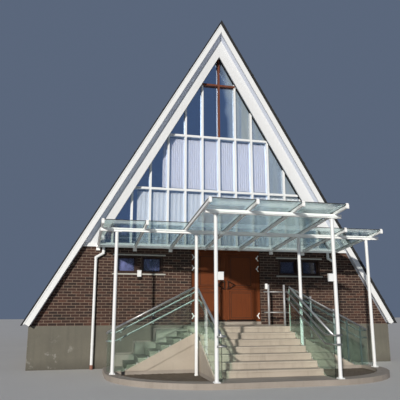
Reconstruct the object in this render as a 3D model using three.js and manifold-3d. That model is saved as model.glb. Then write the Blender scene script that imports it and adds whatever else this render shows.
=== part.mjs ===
// Steep-roofed modern church with a glazed gable, a glass entrance canopy and a stair with three flights.
// Millimetres, +Z up, +Y into the building. The front wall face is at y = 0 before the last shift,
// which puts the origin on the ground under the middle of the whole building.

import * as THREE from 'three';
import { mergeVertices } from 'three/addons/utils/BufferGeometryUtils.js';
import Module from 'manifold-3d';

const wasm = await Module();
wasm.setup();

// Driving dimensions
const GAP = 0.3;
const TAN = Math.tan(Math.PI / 3);
const RISER = 140;
const GROUND = 45;
const KERB_TOP = 160;
const FLOOR = KERB_TOP + 7 * RISER;
const COURSE = 75;
const BRICK_TOP = FLOOR + 28 * COURSE;
const SILL_TOP = BRICK_TOP + 100;
const NAVE = 15000;
const WALL = 350;
const HALF_WIDTH = 5200;
const OVERHANG = 210;

// Heights at which the sloping lines of the gable would meet over the middle
const ROOF_APEX = 10458;
const FASCIA_APEX = 10428;
const SOFFIT_APEX = 10098;
const GLAZING_APEX = 9448;

// Glazed gable
const BAY = 523;
const TRANSOMS = [5023, 6718, 8458];
const BAR = 62;
const BORDER = 20;
const BAR_DEPTH = 70;
const GLAZING_Y = 215;
const GLASS = 24;

// Entrance
const DOOR_X = 120;
const DOORWAY_HALF = 1030;
const JAMB = 118;
const HEAD = 83;
const LEAF = 50;
const LEAF_Y = 70;

// Small windows beside the door
const WINDOW_CENTRES = [2025, 2740];
const WINDOW_WIDTH = 600;
const WINDOW_BOTTOM = 2528;
const WINDOW_TOP = 3018;
const SILL_STRIP = [1650, 3115];

// Canopy
const RAFTER_PITCH = 0.103;
const RAFTER_WALL_Z = 3240;
const RAFTER_X = -11;
const RAFTER_BAY = 1003;
const RAFTER_DEPTH = 70;
const RAFTER_WIDTH = 45;
const SIDE_BEAM_Y = -2170;
const FRONT_BEAM_Y = -3980;
const SIDE_END_Y = -2645;
const FRONT_END_Y = -4555;
const BEAM_DEPTH = 80;
const BEAM_WIDTH = 80;
const CANOPY_GLASS = 17;
const POST_RADIUS = 40;
const POST_X = 82;
const POST_OUTER = 3250;
const POST_INNER = 1333;

// Stair
const ENTRANCE_X = 100;
const STAIR_HALF = 1225;
const TREAD = 290;
const SIDE_TREAD = 280;
const STEPS = 7;
const LANDING_Y = -1650;
const FLIGHT_BACK_Y = -550;
const KERB_FRONT_Y = -4090;
const KERB_HALF = 3420;
const GLASS_TOP = 947;
const NOSING_CLEAR = 109;

// Colours of the real surfaces
const MATERIALS = {
    render: { color: 0x8f9086, roughness: 0.9 },
    brick: { color: 0x5f342a, roughness: 0.9 },
    white: { color: 0xe9e8e4, roughness: 0.45 },
    shingle: { color: 0x2b2c2e, roughness: 0.95 },
    brown: { color: 0x6d3418, roughness: 0.5 },
    cross: { color: 0x4a2a1c, roughness: 0.5 },
    concrete: { color: 0xb3a792, roughness: 0.85 },
    glass: { color: 0x6f8794, roughness: 0.08, metalness: 0.1 },
    canopyGlass: { color: 0x8fb0b3, roughness: 0.08, metalness: 0.1 },
    steel: { color: 0xa9adb0, roughness: 0.3, metalness: 0.9 },
    cloth: { color: 0xd9dbe4, roughness: 0.9 },
};

const church = new THREE.Group();

// Turns a closed geometry into a solid that can be joined and cut.
function solid(geometry) {
    const bare = geometry.clone();
    bare.deleteAttribute('normal');
    bare.deleteAttribute('uv');
    const merged = mergeVertices(bare, 1e-3);
    return new wasm.Manifold(new wasm.Mesh({
        numProp: 3,
        vertProperties: new Float32Array(merged.attributes.position.array),
        triVerts: new Uint32Array(merged.index.array),
    }));
}

function geometryOf(body) {
    const mesh = body.getMesh();
    const geometry = new THREE.BufferGeometry();
    geometry.setAttribute('position', new THREE.BufferAttribute(mesh.vertProperties, 3));
    geometry.setIndex(new THREE.BufferAttribute(mesh.triVerts, 1));
    geometry.computeVertexNormals();
    return geometry;
}

function place(name, body, look) {
    const material = new THREE.MeshStandardMaterial(MATERIALS[look]);
    const mesh = new THREE.Mesh(geometryOf(body), material);
    mesh.name = name;
    church.add(mesh);
}

function box(x0, x1, y0, y1, z0, z1) {
    const geometry = new THREE.BoxGeometry(x1 - x0, y1 - y0, z1 - z0);
    geometry.translate((x0 + x1) / 2, (y0 + y1) / 2, (z0 + z1) / 2);
    return solid(geometry);
}

function shapeOf(points) {
    return new THREE.Shape(points.map(([u, v]) => new THREE.Vector2(u, v)));
}

// A plan outline standing from z0 to z1.
function upright(points, z0, z1) {
    const geometry = new THREE.ExtrudeGeometry(shapeOf(points), { depth: z1 - z0, bevelEnabled: false });
    geometry.translate(0, 0, z0);
    return solid(geometry);
}

// An outline in x and z running along y.
function alongY(points, y0, y1) {
    const geometry = new THREE.ExtrudeGeometry(shapeOf(points), { depth: y1 - y0, bevelEnabled: false });
    geometry.rotateX(Math.PI / 2);
    geometry.translate(0, y1, 0);
    return solid(geometry);
}

// An outline in y and z running along x.
function alongX(points, x0, x1) {
    const geometry = new THREE.ExtrudeGeometry(shapeOf(points), { depth: x1 - x0, bevelEnabled: false });
    geometry.rotateX(Math.PI / 2);
    geometry.rotateZ(Math.PI / 2);
    geometry.translate(x0, 0, 0);
    return solid(geometry);
}

// A round bar between two points.
function bar(from, to, radius, sides = 8) {
    const a = new THREE.Vector3(...from);
    const b = new THREE.Vector3(...to);
    const run = b.clone().sub(a);
    const geometry = new THREE.CylinderGeometry(radius, radius, run.length(), sides);
    geometry.applyQuaternion(new THREE.Quaternion().setFromUnitVectors(new THREE.Vector3(0, 1, 0),
        run.clone().normalize()));
    geometry.translate((a.x + b.x) / 2, (a.y + b.y) / 2, (a.z + b.z) / 2);
    return solid(geometry);
}

function join(bodies) {
    return bodies.reduce((whole, body) => whole.add(body));
}

function sorted(a, b) {
    return a < b ? [a, b] : [b, a];
}

function mirrorX(points) {
    return points.map(([u, v]) => [-u, v]).reverse();
}

// Half width of the gable at height z under a sloping line that meets the middle at apex.
function halfAt(apex, z) {
    return (apex - z) / TAN;
}

// Plinth and floor
const plinthInner = HALF_WIDTH - WALL;
place('plinth', box(-HALF_WIDTH, HALF_WIDTH, 0, NAVE, GROUND, FLOOR)
    .subtract(box(-plinthInner, plinthInner, WALL, NAVE - WALL, GROUND - 10, FLOOR + 10)), 'render');
const floorHalf = plinthInner - GAP;
place('floor_slab', box(-floorHalf, floorHalf, WALL + GAP, NAVE - WALL - GAP, FLOOR - 200, FLOOR),
    'concrete');

// Roof slopes, ridge and verge boards
const EAVE_THICKNESS = (ROOF_APEX - SOFFIT_APEX) / 2;
const eaveInnerZ = FLOOR + GAP;
const eaveInnerX = halfAt(SOFFIT_APEX, eaveInnerZ);
const eaveOuter = [eaveInnerX + EAVE_THICKNESS * Math.sin(Math.PI / 3), eaveInnerZ + EAVE_THICKNESS / 2];
const eaveInner = [eaveInnerX, eaveInnerZ];
const roofRight = [[GAP / 2, SOFFIT_APEX - GAP], eaveInner, eaveOuter, [GAP / 2, ROOF_APEX - GAP]];
const ROOF_FRONT_Y = -OVERHANG + 25;
const ROOF_BACK_Y = NAVE + OVERHANG - 25;
place('roof_right', alongY(roofRight, ROOF_FRONT_Y, ROOF_BACK_Y), 'shingle');
place('roof_left', alongY(mirrorX(roofRight), ROOF_FRONT_Y, ROOF_BACK_Y), 'shingle');

const CAP_REACH = 160;
const capBottom = ROOF_APEX + 2 * GAP;
const ridge = [
    [0, capBottom],
    [CAP_REACH, capBottom - CAP_REACH * TAN],
    [CAP_REACH + 12, capBottom - CAP_REACH * TAN + 6],
    [0, capBottom + 26],
    [-CAP_REACH - 12, capBottom - CAP_REACH * TAN + 6],
    [-CAP_REACH, capBottom - CAP_REACH * TAN],
];
place('ridge_cap', alongY(ridge, ROOF_FRONT_Y, ROOF_BACK_Y), 'shingle');

const fasciaRun = (FASCIA_APEX - SOFFIT_APEX) / 2;
const fasciaTop = [eaveInnerX + fasciaRun * Math.sin(Math.PI / 3), eaveInnerZ + fasciaRun / 2];
const vergeBoard = [
    [0, SOFFIT_APEX], eaveInner, fasciaTop, [0, FASCIA_APEX],
    [-fasciaTop[0], fasciaTop[1]], [-eaveInner[0], eaveInner[1]],
];
place('front_fascia', alongY(vergeBoard, -OVERHANG, ROOF_FRONT_Y - GAP), 'white');
place('back_fascia', alongY(vergeBoard, ROOF_BACK_Y + GAP, NAVE + OVERHANG), 'white');

// Front and back gable walls
function wallHalf(z) {
    return halfAt(SOFFIT_APEX - 1, z);
}

const brickFoot = FLOOR + GAP;
const brickHead = BRICK_TOP - GAP;

function frontWall(sign) {
    const jamb = DOOR_X * sign + DOORWAY_HALF;
    const outline = [[jamb, brickFoot], [wallHalf(brickFoot), brickFoot], [wallHalf(brickHead), brickHead],
        [jamb, brickHead]];
    let wall = alongY(sign > 0 ? outline : mirrorX(outline), 0, WALL);
    for (const centre of WINDOW_CENTRES) {
        const x = sign * centre;
        wall = wall.subtract(box(x - WINDOW_WIDTH / 2, x + WINDOW_WIDTH / 2, -10, WALL + 10,
            WINDOW_BOTTOM, WINDOW_TOP));
    }
    return wall;
}

place('front_wall_left', frontWall(-1), 'brick');
place('front_wall_right', frontWall(1), 'brick');
const backOutline = [[-wallHalf(brickFoot), brickFoot], [wallHalf(brickFoot), brickFoot],
    [wallHalf(brickHead), brickHead], [-wallHalf(brickHead), brickHead]];
place('back_wall', alongY(backOutline, NAVE - WALL, NAVE), 'brick');

const SILL_PROUD = 40;
const sillOutline = [[-wallHalf(BRICK_TOP), BRICK_TOP], [wallHalf(BRICK_TOP), BRICK_TOP],
    [wallHalf(SILL_TOP), SILL_TOP], [-wallHalf(SILL_TOP), SILL_TOP]];
place('front_sill_beam', alongY(sillOutline, -SILL_PROUD, WALL), 'white');
place('back_sill_beam', alongY(sillOutline, NAVE - WALL, NAVE + SILL_PROUD), 'white');

function gableFrame(y0, y1) {
    const foot = SILL_TOP + GAP;
    const outer = [[-wallHalf(foot), foot], [wallHalf(foot), foot], [0, SOFFIT_APEX - 1]];
    const opening = [[-halfAt(GLAZING_APEX, 0), 0], [halfAt(GLAZING_APEX, 0), 0], [0, GLAZING_APEX]];
    return alongY(outer, y0, y1).subtract(alongY(opening, y0 - 10, y1 + 10));
}

place('front_gable_frame', gableFrame(0, WALL), 'white');
place('back_gable_frame', gableFrame(NAVE - WALL, NAVE), 'white');

// Glazing bars: an outer triangle, three cross bars and a mullion on each bay line
function triangle(apex, foot) {
    return [[-halfAt(apex, foot), foot], [halfAt(apex, foot), foot], [0, apex]];
}

function glazingBars(y0, y1) {
    const foot = SILL_TOP + GAP;
    const apex = GLAZING_APEX - 2 * GAP;
    const field = alongY(triangle(apex, foot), y0, y1);
    const inner = alongY(triangle(apex - 2 * BORDER, foot + BAR), y0 - 10, y1 + 10);
    const bars = TRANSOMS.map((z) => box(-halfAt(apex, z), halfAt(apex, z), y0, y1,
        z - BAR / 2, z + BAR / 2));
    for (let line = -6; line <= 6; line += 1) {
        const x = line * BAY;
        bars.push(box(x - BAR / 2, x + BAR / 2, y0, y1, foot, apex - Math.abs(x) * TAN));
    }
    return field.subtract(inner).add(join(bars).intersect(field));
}

const CROSS_PROUD = 15;
const crossY = [GLAZING_Y - CROSS_PROUD, GLAZING_Y + BAR_DEPTH];
const crossFoot = TRANSOMS[1] + BAR / 2;
const CROSS_CLEAR = 4;
const borderApex = GLAZING_APEX - 2 * GAP - 2 * BORDER;
const crossHead = borderApex - (BAR / 2) * TAN - CROSS_CLEAR;
const crossArm = halfAt(borderApex, TRANSOMS[2] + BAR / 2) - CROSS_CLEAR;

function crossBars(grow, y0, y1) {
    const half = BAR / 2 + grow;
    const stem = box(-half, half, y0, y1, crossFoot + GAP - grow, crossHead + grow);
    const arm = box(-crossArm - grow, crossArm + grow, y0, y1, TRANSOMS[2] - half, TRANSOMS[2] + half);
    return stem.add(arm);
}

place('cross', crossBars(0, ...crossY), 'cross');
place('front_glazing_bars', glazingBars(GLAZING_Y, GLAZING_Y + BAR_DEPTH)
    .subtract(crossBars(GAP, GLAZING_Y - 50, GLAZING_Y + BAR_DEPTH + 50)), 'white');
const backBarsY = NAVE - GLAZING_Y - BAR_DEPTH;
place('back_glazing_bars', glazingBars(backBarsY, backBarsY + BAR_DEPTH), 'white');
const paneOutline = triangle(GLAZING_APEX - 2 * GAP, SILL_TOP + GAP);
const paneY = GLAZING_Y + BAR_DEPTH + GAP;
place('front_gable_glass', alongY(paneOutline, paneY, paneY + GLASS), 'glass');
place('back_gable_glass', alongY(paneOutline, NAVE - paneY - GLASS, NAVE - paneY), 'glass');

// Small windows: one node for each pair, with casings, sashes, a lintel strip above and a sill strip below
const CASING = 15;
const SASH = 45;
const SASH_Y = [60, 120];
const STRIP_PROUD = 35;
const STRIP_HEIGHT = 45;

function ring(x0, x1, y0, y1, z0, z1, border) {
    return box(x0, x1, y0, y1, z0, z1).subtract(box(x0 + border, x1 - border, y0 - 10, y1 + 10,
        z0 + border, z1 - border));
}

for (const [side, sign] of [['left', -1], ['right', 1]]) {
    const stripXs = sorted(sign * SILL_STRIP[0], sign * SILL_STRIP[1]);
    const parts = [
        box(...stripXs, -STRIP_PROUD, -GAP, WINDOW_TOP - CASING, WINDOW_TOP + STRIP_HEIGHT),
        box(...stripXs, -STRIP_PROUD, -GAP, WINDOW_BOTTOM - STRIP_HEIGHT, WINDOW_BOTTOM + CASING),
    ];
    WINDOW_CENTRES.forEach((centre, index) => {
        const half = WINDOW_WIDTH / 2 - GAP;
        const x = sign * centre;
        const low = WINDOW_BOTTOM + GAP;
        const high = WINDOW_TOP - GAP;
        parts.push(ring(x - half, x + half, -STRIP_PROUD, SASH_Y[1], low, high, CASING));
        parts.push(ring(x - half, x + half, ...SASH_Y, low, high, SASH));
        const pane = box(x - half, x + half, SASH_Y[1] + GAP, SASH_Y[1] + GLASS, low, high);
        place(`window_pane_${side}_${index + 1}`, pane, 'glass');
    });
    place(`window_frames_${side}`, join(parts), 'white');
}

// Door frame and two leaves that open outwards
const doorLeft = DOOR_X - DOORWAY_HALF + GAP;
const doorRight = DOOR_X + DOORWAY_HALF - GAP;
const doorHead = BRICK_TOP - GAP;
const leafHead = doorHead - HEAD;
const FRAME_DEPTH = 100;
const LEAF_CLEAR = 6;
const THRESHOLD_Y = 20;
const THRESHOLD_TOP = FLOOR + 80;
const LEAF_FOOT = THRESHOLD_TOP + 10;
const LEAF_MEETING = 3;
const PANEL_MARGIN = 115;
const PANELS = [[FLOOR + 150, FLOOR + 915], [FLOOR + 1060, FLOOR + 1940]];
const PANEL_PROUD = 12;
const BEDDED = 5;
const HINGE_INSET = 4;
const HINGE_Y = LEAF_Y - 10;
const HINGE_HEIGHTS = [FLOOR + 230, FLOOR + 1565, FLOOR + 1870];
const LEAF_KNUCKLE = 70;
const FRAME_KNUCKLE = 50;
const KNUCKLE_RADIUS = 8;
const HINGE_TAB = [3, 50];
const PULL = { near: 55, far: 265, half: 110, off: 55, radius: 9, stud: 11, z: FLOOR + 1105 };

function jambFace(sign) {
    return sign > 0 ? doorRight - JAMB : doorLeft + JAMB;
}

function hingeX(sign) {
    return jambFace(sign) - sign * HINGE_INSET;
}

// A knuckle on the hinge line with a tab towards the jamb (toward = 1) or the leaf (toward = -1).
function knuckle(sign, toward, z0, z1) {
    const x = hingeX(sign);
    const tab = sorted(x + sign * toward * HINGE_TAB[0], x + sign * toward * HINGE_TAB[1]);
    return bar([x, HINGE_Y, z0], [x, HINGE_Y, z1], KNUCKLE_RADIUS, 12)
        .add(box(...tab, HINGE_Y, LEAF_Y + BEDDED, z0, z1));
}

place('door_threshold', box(doorLeft, doorRight, THRESHOLD_Y, WALL, FLOOR + GAP, THRESHOLD_TOP), 'concrete');
const frameParts = [
    box(doorLeft, doorLeft + JAMB, LEAF_Y, LEAF_Y + FRAME_DEPTH, THRESHOLD_TOP + GAP, doorHead),
    box(doorRight - JAMB, doorRight, LEAF_Y, LEAF_Y + FRAME_DEPTH, THRESHOLD_TOP + GAP, doorHead),
    box(doorLeft, doorRight, LEAF_Y, LEAF_Y + FRAME_DEPTH, leafHead, doorHead),
];
for (const sign of [-1, 1]) {
    for (const z of HINGE_HEIGHTS) {
        frameParts.push(knuckle(sign, 1, z - FRAME_KNUCKLE, z - GAP));
    }
}
place('door_frame', join(frameParts), 'brown');

function doorLeaf(sign) {
    const [low, high] = sorted(jambFace(sign) - sign * LEAF_CLEAR, DOOR_X + sign * LEAF_MEETING);
    const parts = [box(low, high, LEAF_Y, LEAF_Y + LEAF, LEAF_FOOT, leafHead - LEAF_CLEAR)];
    for (const heights of PANELS) {
        parts.push(box(low + PANEL_MARGIN, high - PANEL_MARGIN, LEAF_Y - PANEL_PROUD, LEAF_Y + BEDDED,
            ...heights));
    }
    for (const z of HINGE_HEIGHTS) {
        parts.push(knuckle(sign, -1, z, z + LEAF_KNUCKLE));
    }
    const near = DOOR_X + sign * PULL.near;
    const far = DOOR_X + sign * PULL.far;
    const y = LEAF_Y - PULL.off;
    const corners = [[near, PULL.z - PULL.half], [near, PULL.z + PULL.half], [far, PULL.z]];
    corners.forEach(([x, z], index) => {
        const [nextX, nextZ] = corners[(index + 1) % 3];
        parts.push(bar([x, y, z], [nextX, y, nextZ], PULL.radius));
        parts.push(bar([x, y - PULL.radius, z], [x, LEAF_Y + BEDDED, z], PULL.stud));
    });
    return join(parts);
}

place('door_left', doorLeaf(-1), 'brown');
place('door_right', doorLeaf(1), 'brown');

// Canopy: rafters square to the wall, falling towards it, over a side beam and a front beam
function rafterZ(y) {
    return RAFTER_WALL_Z - y * RAFTER_PITCH;
}

function rafterX(index) {
    return RAFTER_X + (index - 3.5) * RAFTER_BAY;
}

function slopingStrip(y0, y1, low, high) {
    const [z0, z1] = [rafterZ(y0), rafterZ(y1)];
    return [[y0, z0 + low], [y1, z1 + low], [y1, z1 + high], [y0, z0 + high]];
}

const RAFTER_WALL_Y = -SILL_PROUD - GAP;
const END_PLATE = { wider: 10, half: 50, thick: 12 };
const WALL_PAD = { half: 50, thick: 50, low: RAFTER_WALL_Z - 102, high: RAFTER_WALL_Z };
const OVER_DOOR = [3, 4];
const GUTTER = { reach: 60, front: -115, foot: RAFTER_WALL_Z - 15, high: 60 };
const BEAM_BEDDED = 12;
const BEAM_REACH = { side: [3640, 3600], front: [1558, 1558] };
const canopyParts = [];
for (let index = 0; index < 8; index += 1) {
    const endY = index >= 2 && index <= 5 ? FRONT_END_Y : SIDE_END_Y;
    const x = rafterX(index);
    const half = RAFTER_WIDTH / 2;
    canopyParts.push(alongX(slopingStrip(endY, RAFTER_WALL_Y, -RAFTER_DEPTH / 2, RAFTER_DEPTH / 2),
        x - half, x + half));
    canopyParts.push(box(x - half - END_PLATE.wider, x + half + END_PLATE.wider, endY - END_PLATE.thick, endY,
        rafterZ(endY) - END_PLATE.half, rafterZ(endY) + END_PLATE.half));
    if (!OVER_DOOR.includes(index)) {
        canopyParts.push(box(x - WALL_PAD.half, x + WALL_PAD.half, -WALL_PAD.thick, -GAP,
            WALL_PAD.low, BRICK_TOP - 2));
        canopyParts.push(box(x - WALL_PAD.half, x + WALL_PAD.half, -WALL_PAD.thick, RAFTER_WALL_Y,
            BRICK_TOP - 10, WALL_PAD.high + 5));
    }
}
const canopyX = [rafterX(0) - GUTTER.reach, rafterX(7) + GUTTER.reach];
canopyParts.push(box(...canopyX, GUTTER.front, RAFTER_WALL_Y, GUTTER.foot, GUTTER.foot + GUTTER.high));

// Underside of the rafters where a beam crosses them.
function beamTop(y) {
    return rafterZ(y) - RAFTER_DEPTH / 2 + BEAM_BEDDED;
}

function crossBeam([left, right], y) {
    return box(POST_X - left, POST_X + right, y - BEAM_WIDTH / 2, y + BEAM_WIDTH / 2,
        beamTop(y) - BEAM_DEPTH, beamTop(y));
}

canopyParts.push(crossBeam(BEAM_REACH.side, SIDE_BEAM_Y));
canopyParts.push(crossBeam(BEAM_REACH.front, FRONT_BEAM_Y));
place('canopy_frame', join(canopyParts), 'white');

const PANE_LAP = 10;
const PANE_JOINT = 2;
const PANE_START_Y = -120;
const panes = [
    ['left', rafterX(0) - PANE_LAP, rafterX(2) - PANE_LAP - PANE_JOINT, SIDE_END_Y],
    ['middle', rafterX(2) - PANE_LAP, rafterX(5) + PANE_LAP, FRONT_END_Y],
    ['right', rafterX(5) + PANE_LAP + PANE_JOINT, rafterX(7) + PANE_LAP, SIDE_END_Y],
];
const paneLow = RAFTER_DEPTH / 2 + GAP;
for (const [side, x0, x1, endY] of panes) {
    const strip = slopingStrip(endY, PANE_START_Y, paneLow, paneLow + CANOPY_GLASS);
    place(`canopy_glass_${side}`, alongX(strip, x0, x1), 'canopyGlass');
}

// Posts with square foot plates, and a lamp box on the inner side of each front post
const FOOT_HALF = 65;
const BED_FOOT_HALF = 46;
const FOOT_THICK = 14;
const BED_TOP = 60;
const LAMP_BOX = { reach: 155, half: 30, low: 2158, high: 2321 };

function post(x, y, foot, half = FOOT_HALF) {
    const plate = box(x - half, x + half, y - half, y + half,
        foot + GAP, foot + FOOT_THICK);
    const head = beamTop(y) - BEAM_DEPTH - GAP;
    return bar([x, y, foot + FOOT_THICK / 2], [x, y, head], POST_RADIUS, 16).add(plate);
}

for (const [side, sign] of [['left', -1], ['right', 1]]) {
    const outer = POST_X + sign * POST_OUTER;
    const inner = POST_X + sign * POST_INNER;
    place(`post_outer_${side}`, post(outer, SIDE_BEAM_Y, KERB_TOP), 'white');
    place(`post_inner_${side}`, post(inner, SIDE_BEAM_Y, BED_TOP, BED_FOOT_HALF), 'white');
    const lampX = sorted(inner, inner - sign * LAMP_BOX.reach);
    const lampBox = box(...lampX, FRONT_BEAM_Y - LAMP_BOX.half, FRONT_BEAM_Y + LAMP_BOX.half,
        LAMP_BOX.low, LAMP_BOX.high);
    place(`post_front_${side}`, post(inner, FRONT_BEAM_Y, KERB_TOP).add(lampBox), 'white');
}

// Kerb platform with rounded ends and two planting beds
const ROUND_START = 1100;
const KERB_ROUND_Y = -1900;
const KERB_CORNER = 350;
const BED_EDGE = { side: 260, front: 330 };
const BED_CLEAR = 1.5;
const STRING_THICK = 40;

// Right half of the platform's edge, drawn in by side and front.
function kerbOutline(side, front) {
    const points = [];
    const radiusX = KERB_HALF - ROUND_START - side;
    const radiusY = KERB_ROUND_Y - KERB_FRONT_Y - front;
    for (let step = 0; step <= 10; step += 1) {
        const angle = (Math.PI / 2) * (step / 10);
        points.push([ROUND_START + radiusX * Math.sin(angle), KERB_ROUND_Y - radiusY * Math.cos(angle)]);
    }
    const corner = KERB_CORNER - Math.min(side, KERB_CORNER - 50);
    for (let step = 0; step <= 4; step += 1) {
        const angle = (Math.PI / 2) * (step / 4);
        points.push([ROUND_START + radiusX - corner + corner * Math.cos(angle),
            FLIGHT_BACK_Y - corner + corner * Math.sin(angle)]);
    }
    return points;
}

function entrancePlan(points) {
    return points.map(([x, y]) => [ENTRANCE_X + x, y]);
}

const kerbRight = kerbOutline(0, 0);
const kerbPlan = entrancePlan([...kerbRight, [STAIR_HALF, FLIGHT_BACK_Y], [STAIR_HALF, -GAP],
    [-STAIR_HALF, -GAP], [-STAIR_HALF, FLIGHT_BACK_Y], ...mirrorX(kerbRight)]);
let kerb = upright(kerbPlan, GROUND, KERB_TOP);
for (const sign of [-1, 1]) {
    const inside = [...kerbOutline(BED_EDGE.side, BED_EDGE.front), [0, FLIGHT_BACK_Y]];
    const bedPlan = upright(entrancePlan(sign > 0 ? inside : mirrorX(inside)), BED_TOP, KERB_TOP + 50);
    const reach = sorted(ENTRANCE_X + sign * (STAIR_HALF + STRING_THICK + BED_CLEAR),
        ENTRANCE_X + sign * KERB_HALF);
    const field = box(...reach, KERB_FRONT_Y, LANDING_Y - BED_CLEAR, GROUND, KERB_TOP + 50);
    kerb = kerb.subtract(bedPlan.intersect(field));
}
place('kerb', kerb, 'concrete');

// Front flight with the landing, and a flight down to each side
function stepOutline(top, start, tread, back) {
    const points = [[back, top], [back, KERB_TOP + GAP]];
    for (let step = STEPS - 1; step >= 0; step -= 1) {
        const z = top - step * RISER;
        points.push([start - step * tread, z - RISER + (step === STEPS - 1 ? GAP : 0)]);
        points.push([start - step * tread, z]);
    }
    return points;
}

// Top of the sloping strings, counted from the landing's corner along a slope of run to one riser.
const STRING_TOP = FLOOR - NOSING_CLEAR;
const STRING_PROUD = 25;
const STRING_BAND = 257;
const STRING_FOOT = KERB_TOP + GAP;
const FRONT_LINE_Y = LANDING_Y - STRING_PROUD - GAP;

function stringReach(run) {
    return ((STRING_TOP - STRING_FOOT) * run) / RISER;
}

const frontString = [[FRONT_LINE_Y, STRING_FOOT], [FRONT_LINE_Y, STRING_TOP],
    [FRONT_LINE_Y - stringReach(TREAD), STRING_FOOT]];
const frontStairs = [alongX(stepOutline(FLOOR, LANDING_Y, TREAD, -GAP).reverse(),
    ENTRANCE_X - STAIR_HALF, ENTRANCE_X + STAIR_HALF)];
for (const sign of [-1, 1]) {
    const xs = sorted(ENTRANCE_X + sign * (STAIR_HALF - 1), ENTRANCE_X + sign * (STAIR_HALF + STRING_THICK));
    frontStairs.push(alongX(frontString, ...xs));
}
place('front_steps', join(frontStairs), 'concrete');

function sideFlight(sign) {
    const start = -STAIR_HALF - GAP - SIDE_TREAD;
    const top = FLOOR - RISER;
    const points = [[-STAIR_HALF - GAP, KERB_TOP + GAP], [-STAIR_HALF - GAP, top]];
    for (let step = 0; step < STEPS - 1; step += 1) {
        const x = start - step * SIDE_TREAD;
        points.push([x, top - step * RISER]);
        points.push([x, step === STEPS - 2 ? KERB_TOP + GAP : top - (step + 1) * RISER]);
    }
    const outline = sign < 0 ? points : mirrorX(points);
    return alongY(entrancePlan(outline), LANDING_Y + 60, FLIGHT_BACK_Y);
}

// Sloping string wall on the open side of each side flight, with a thicker band along its top
function stringWall(sign) {
    const x0 = -STAIR_HALF - GAP;
    const reach = stringReach(SIDE_TREAD);
    const bandFoot = reach - (STRING_BAND * SIDE_TREAD) / RISER;
    const wall = [[x0, STRING_FOOT], [x0, STRING_TOP], [x0 - reach, STRING_FOOT]];
    const band = [[x0, STRING_TOP - STRING_BAND], [x0, STRING_TOP], [x0 - reach, STRING_FOOT],
        [x0 - bandFoot, STRING_FOOT]];
    return alongY(entrancePlan(sign < 0 ? wall : mirrorX(wall)), LANDING_Y, LANDING_Y + 60)
        .add(alongY(entrancePlan(sign < 0 ? band : mirrorX(band)), LANDING_Y - STRING_PROUD, LANDING_Y + 60));
}

// Stepped planting boxes between each side flight and the wall
const PLANTER_LEVELS = [FLOOR - 70, FLOOR - 400, FLOOR - 700];
const PLANTER_ENDS = [0, 835, 1375, 1920];
const PLANTER_RIM = 60;
const PLANTER_DEPTH = 90;

function planter(sign) {
    const start = STAIR_HALF + GAP;
    const ys = [FLIGHT_BACK_Y + GAP, -GAP];
    const soilYs = [ys[0] + PLANTER_RIM, ys[1] - PLANTER_RIM];
    const parts = PLANTER_LEVELS.map((z, index) => {
        const xs = sorted(ENTRANCE_X + sign * (start + PLANTER_ENDS[index]),
            ENTRANCE_X + sign * (start + PLANTER_ENDS[index + 1]));
        return box(...xs, ...ys, GROUND, z).subtract(box(xs[0] + PLANTER_RIM, xs[1] - PLANTER_RIM, ...soilYs,
            z - PLANTER_DEPTH, z + 50));
    });
    return join(parts);
}

for (const [side, sign] of [['left', -1], ['right', 1]]) {
    place(`side_flight_${side}`, sideFlight(sign).add(stringWall(sign)), 'concrete');
    place(`planter_${side}`, planter(sign), 'concrete');
}

// Glass balustrades on the strings, with a steel tube along their top
const PANE = 12;
const PANE_LIFT = 0.4;
const PANE_INNER_Y = LANDING_Y + PANE;
const PANE_REACH = { side: 3370, front: -3930 };
const PANE_HEIGHT = FLOOR + GLASS_TOP - STRING_TOP;
const CAP_RISE = 29;
const CAP_RADIUS = 24;

// Outline of a pane whose foot follows a string from u0 down to the kerb, for a run towards -u.
function paneOn(uStart, u0, uEnd, run) {
    const low = STRING_TOP + PANE_LIFT;
    const uFoot = u0 - ((low - STRING_FOOT) * run) / RISER;
    const drop = ((u0 - uEnd) * RISER) / run;
    return [[uStart, low], [u0, low], [uFoot, STRING_FOOT], [uEnd, STRING_FOOT],
        [uEnd, low + PANE_HEIGHT - drop], [u0, low + PANE_HEIGHT], [uStart, low + PANE_HEIGHT]];
}

const cornerX = -STAIR_HALF - GAP;

function balustradeGlass(sign) {
    const sidePane = paneOn(cornerX, cornerX - 1, -PANE_REACH.side, SIDE_TREAD);
    const frontPane = paneOn(PANE_INNER_Y, FRONT_LINE_Y, PANE_REACH.front, TREAD);
    const frontX = sorted(ENTRANCE_X - sign * cornerX, ENTRANCE_X - sign * (cornerX - PANE));
    return alongY(entrancePlan(sign < 0 ? sidePane.reverse() : mirrorX(sidePane.reverse())), LANDING_Y,
        PANE_INNER_Y).add(alongX(frontPane.reverse(), ...frontX));
}

function capRail(sign) {
    const middle = PANE / 2;
    const x = ENTRANCE_X - sign * (cornerX - middle);
    const y = LANDING_Y + middle;
    const z = FLOOR + GLASS_TOP + CAP_RISE;
    const endX = ENTRANCE_X + sign * PANE_REACH.side;
    const sideDrop = ((PANE_REACH.side + cornerX) * RISER) / SIDE_TREAD;
    const frontDrop = ((FRONT_LINE_Y - PANE_REACH.front) * RISER) / TREAD;
    return join([
        bar([x, y, z], [endX, y, z - sideDrop], CAP_RADIUS),
        bar([x, y + CAP_RADIUS - 3, z], [x, FRONT_LINE_Y - 6, z], CAP_RADIUS),
        bar([x, FRONT_LINE_Y, z], [x, PANE_REACH.front, z - frontDrop], CAP_RADIUS),
    ]);
}

// Two handrails on the walking side of each balustrade, held to the glass by short brackets
const RAIL_RADIUS = 21;
const RAIL_INSET = 55;
const RAIL_LEVELS = [889, 702];
const RAIL_END = 215;
const RAIL_FRONT = { level: -3650, end: -4055, across: 1360 };
const BRACKET_RADIUS = 10;
const BRACKET_SHARES = [0.1, 0.56, 0.94];

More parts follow.
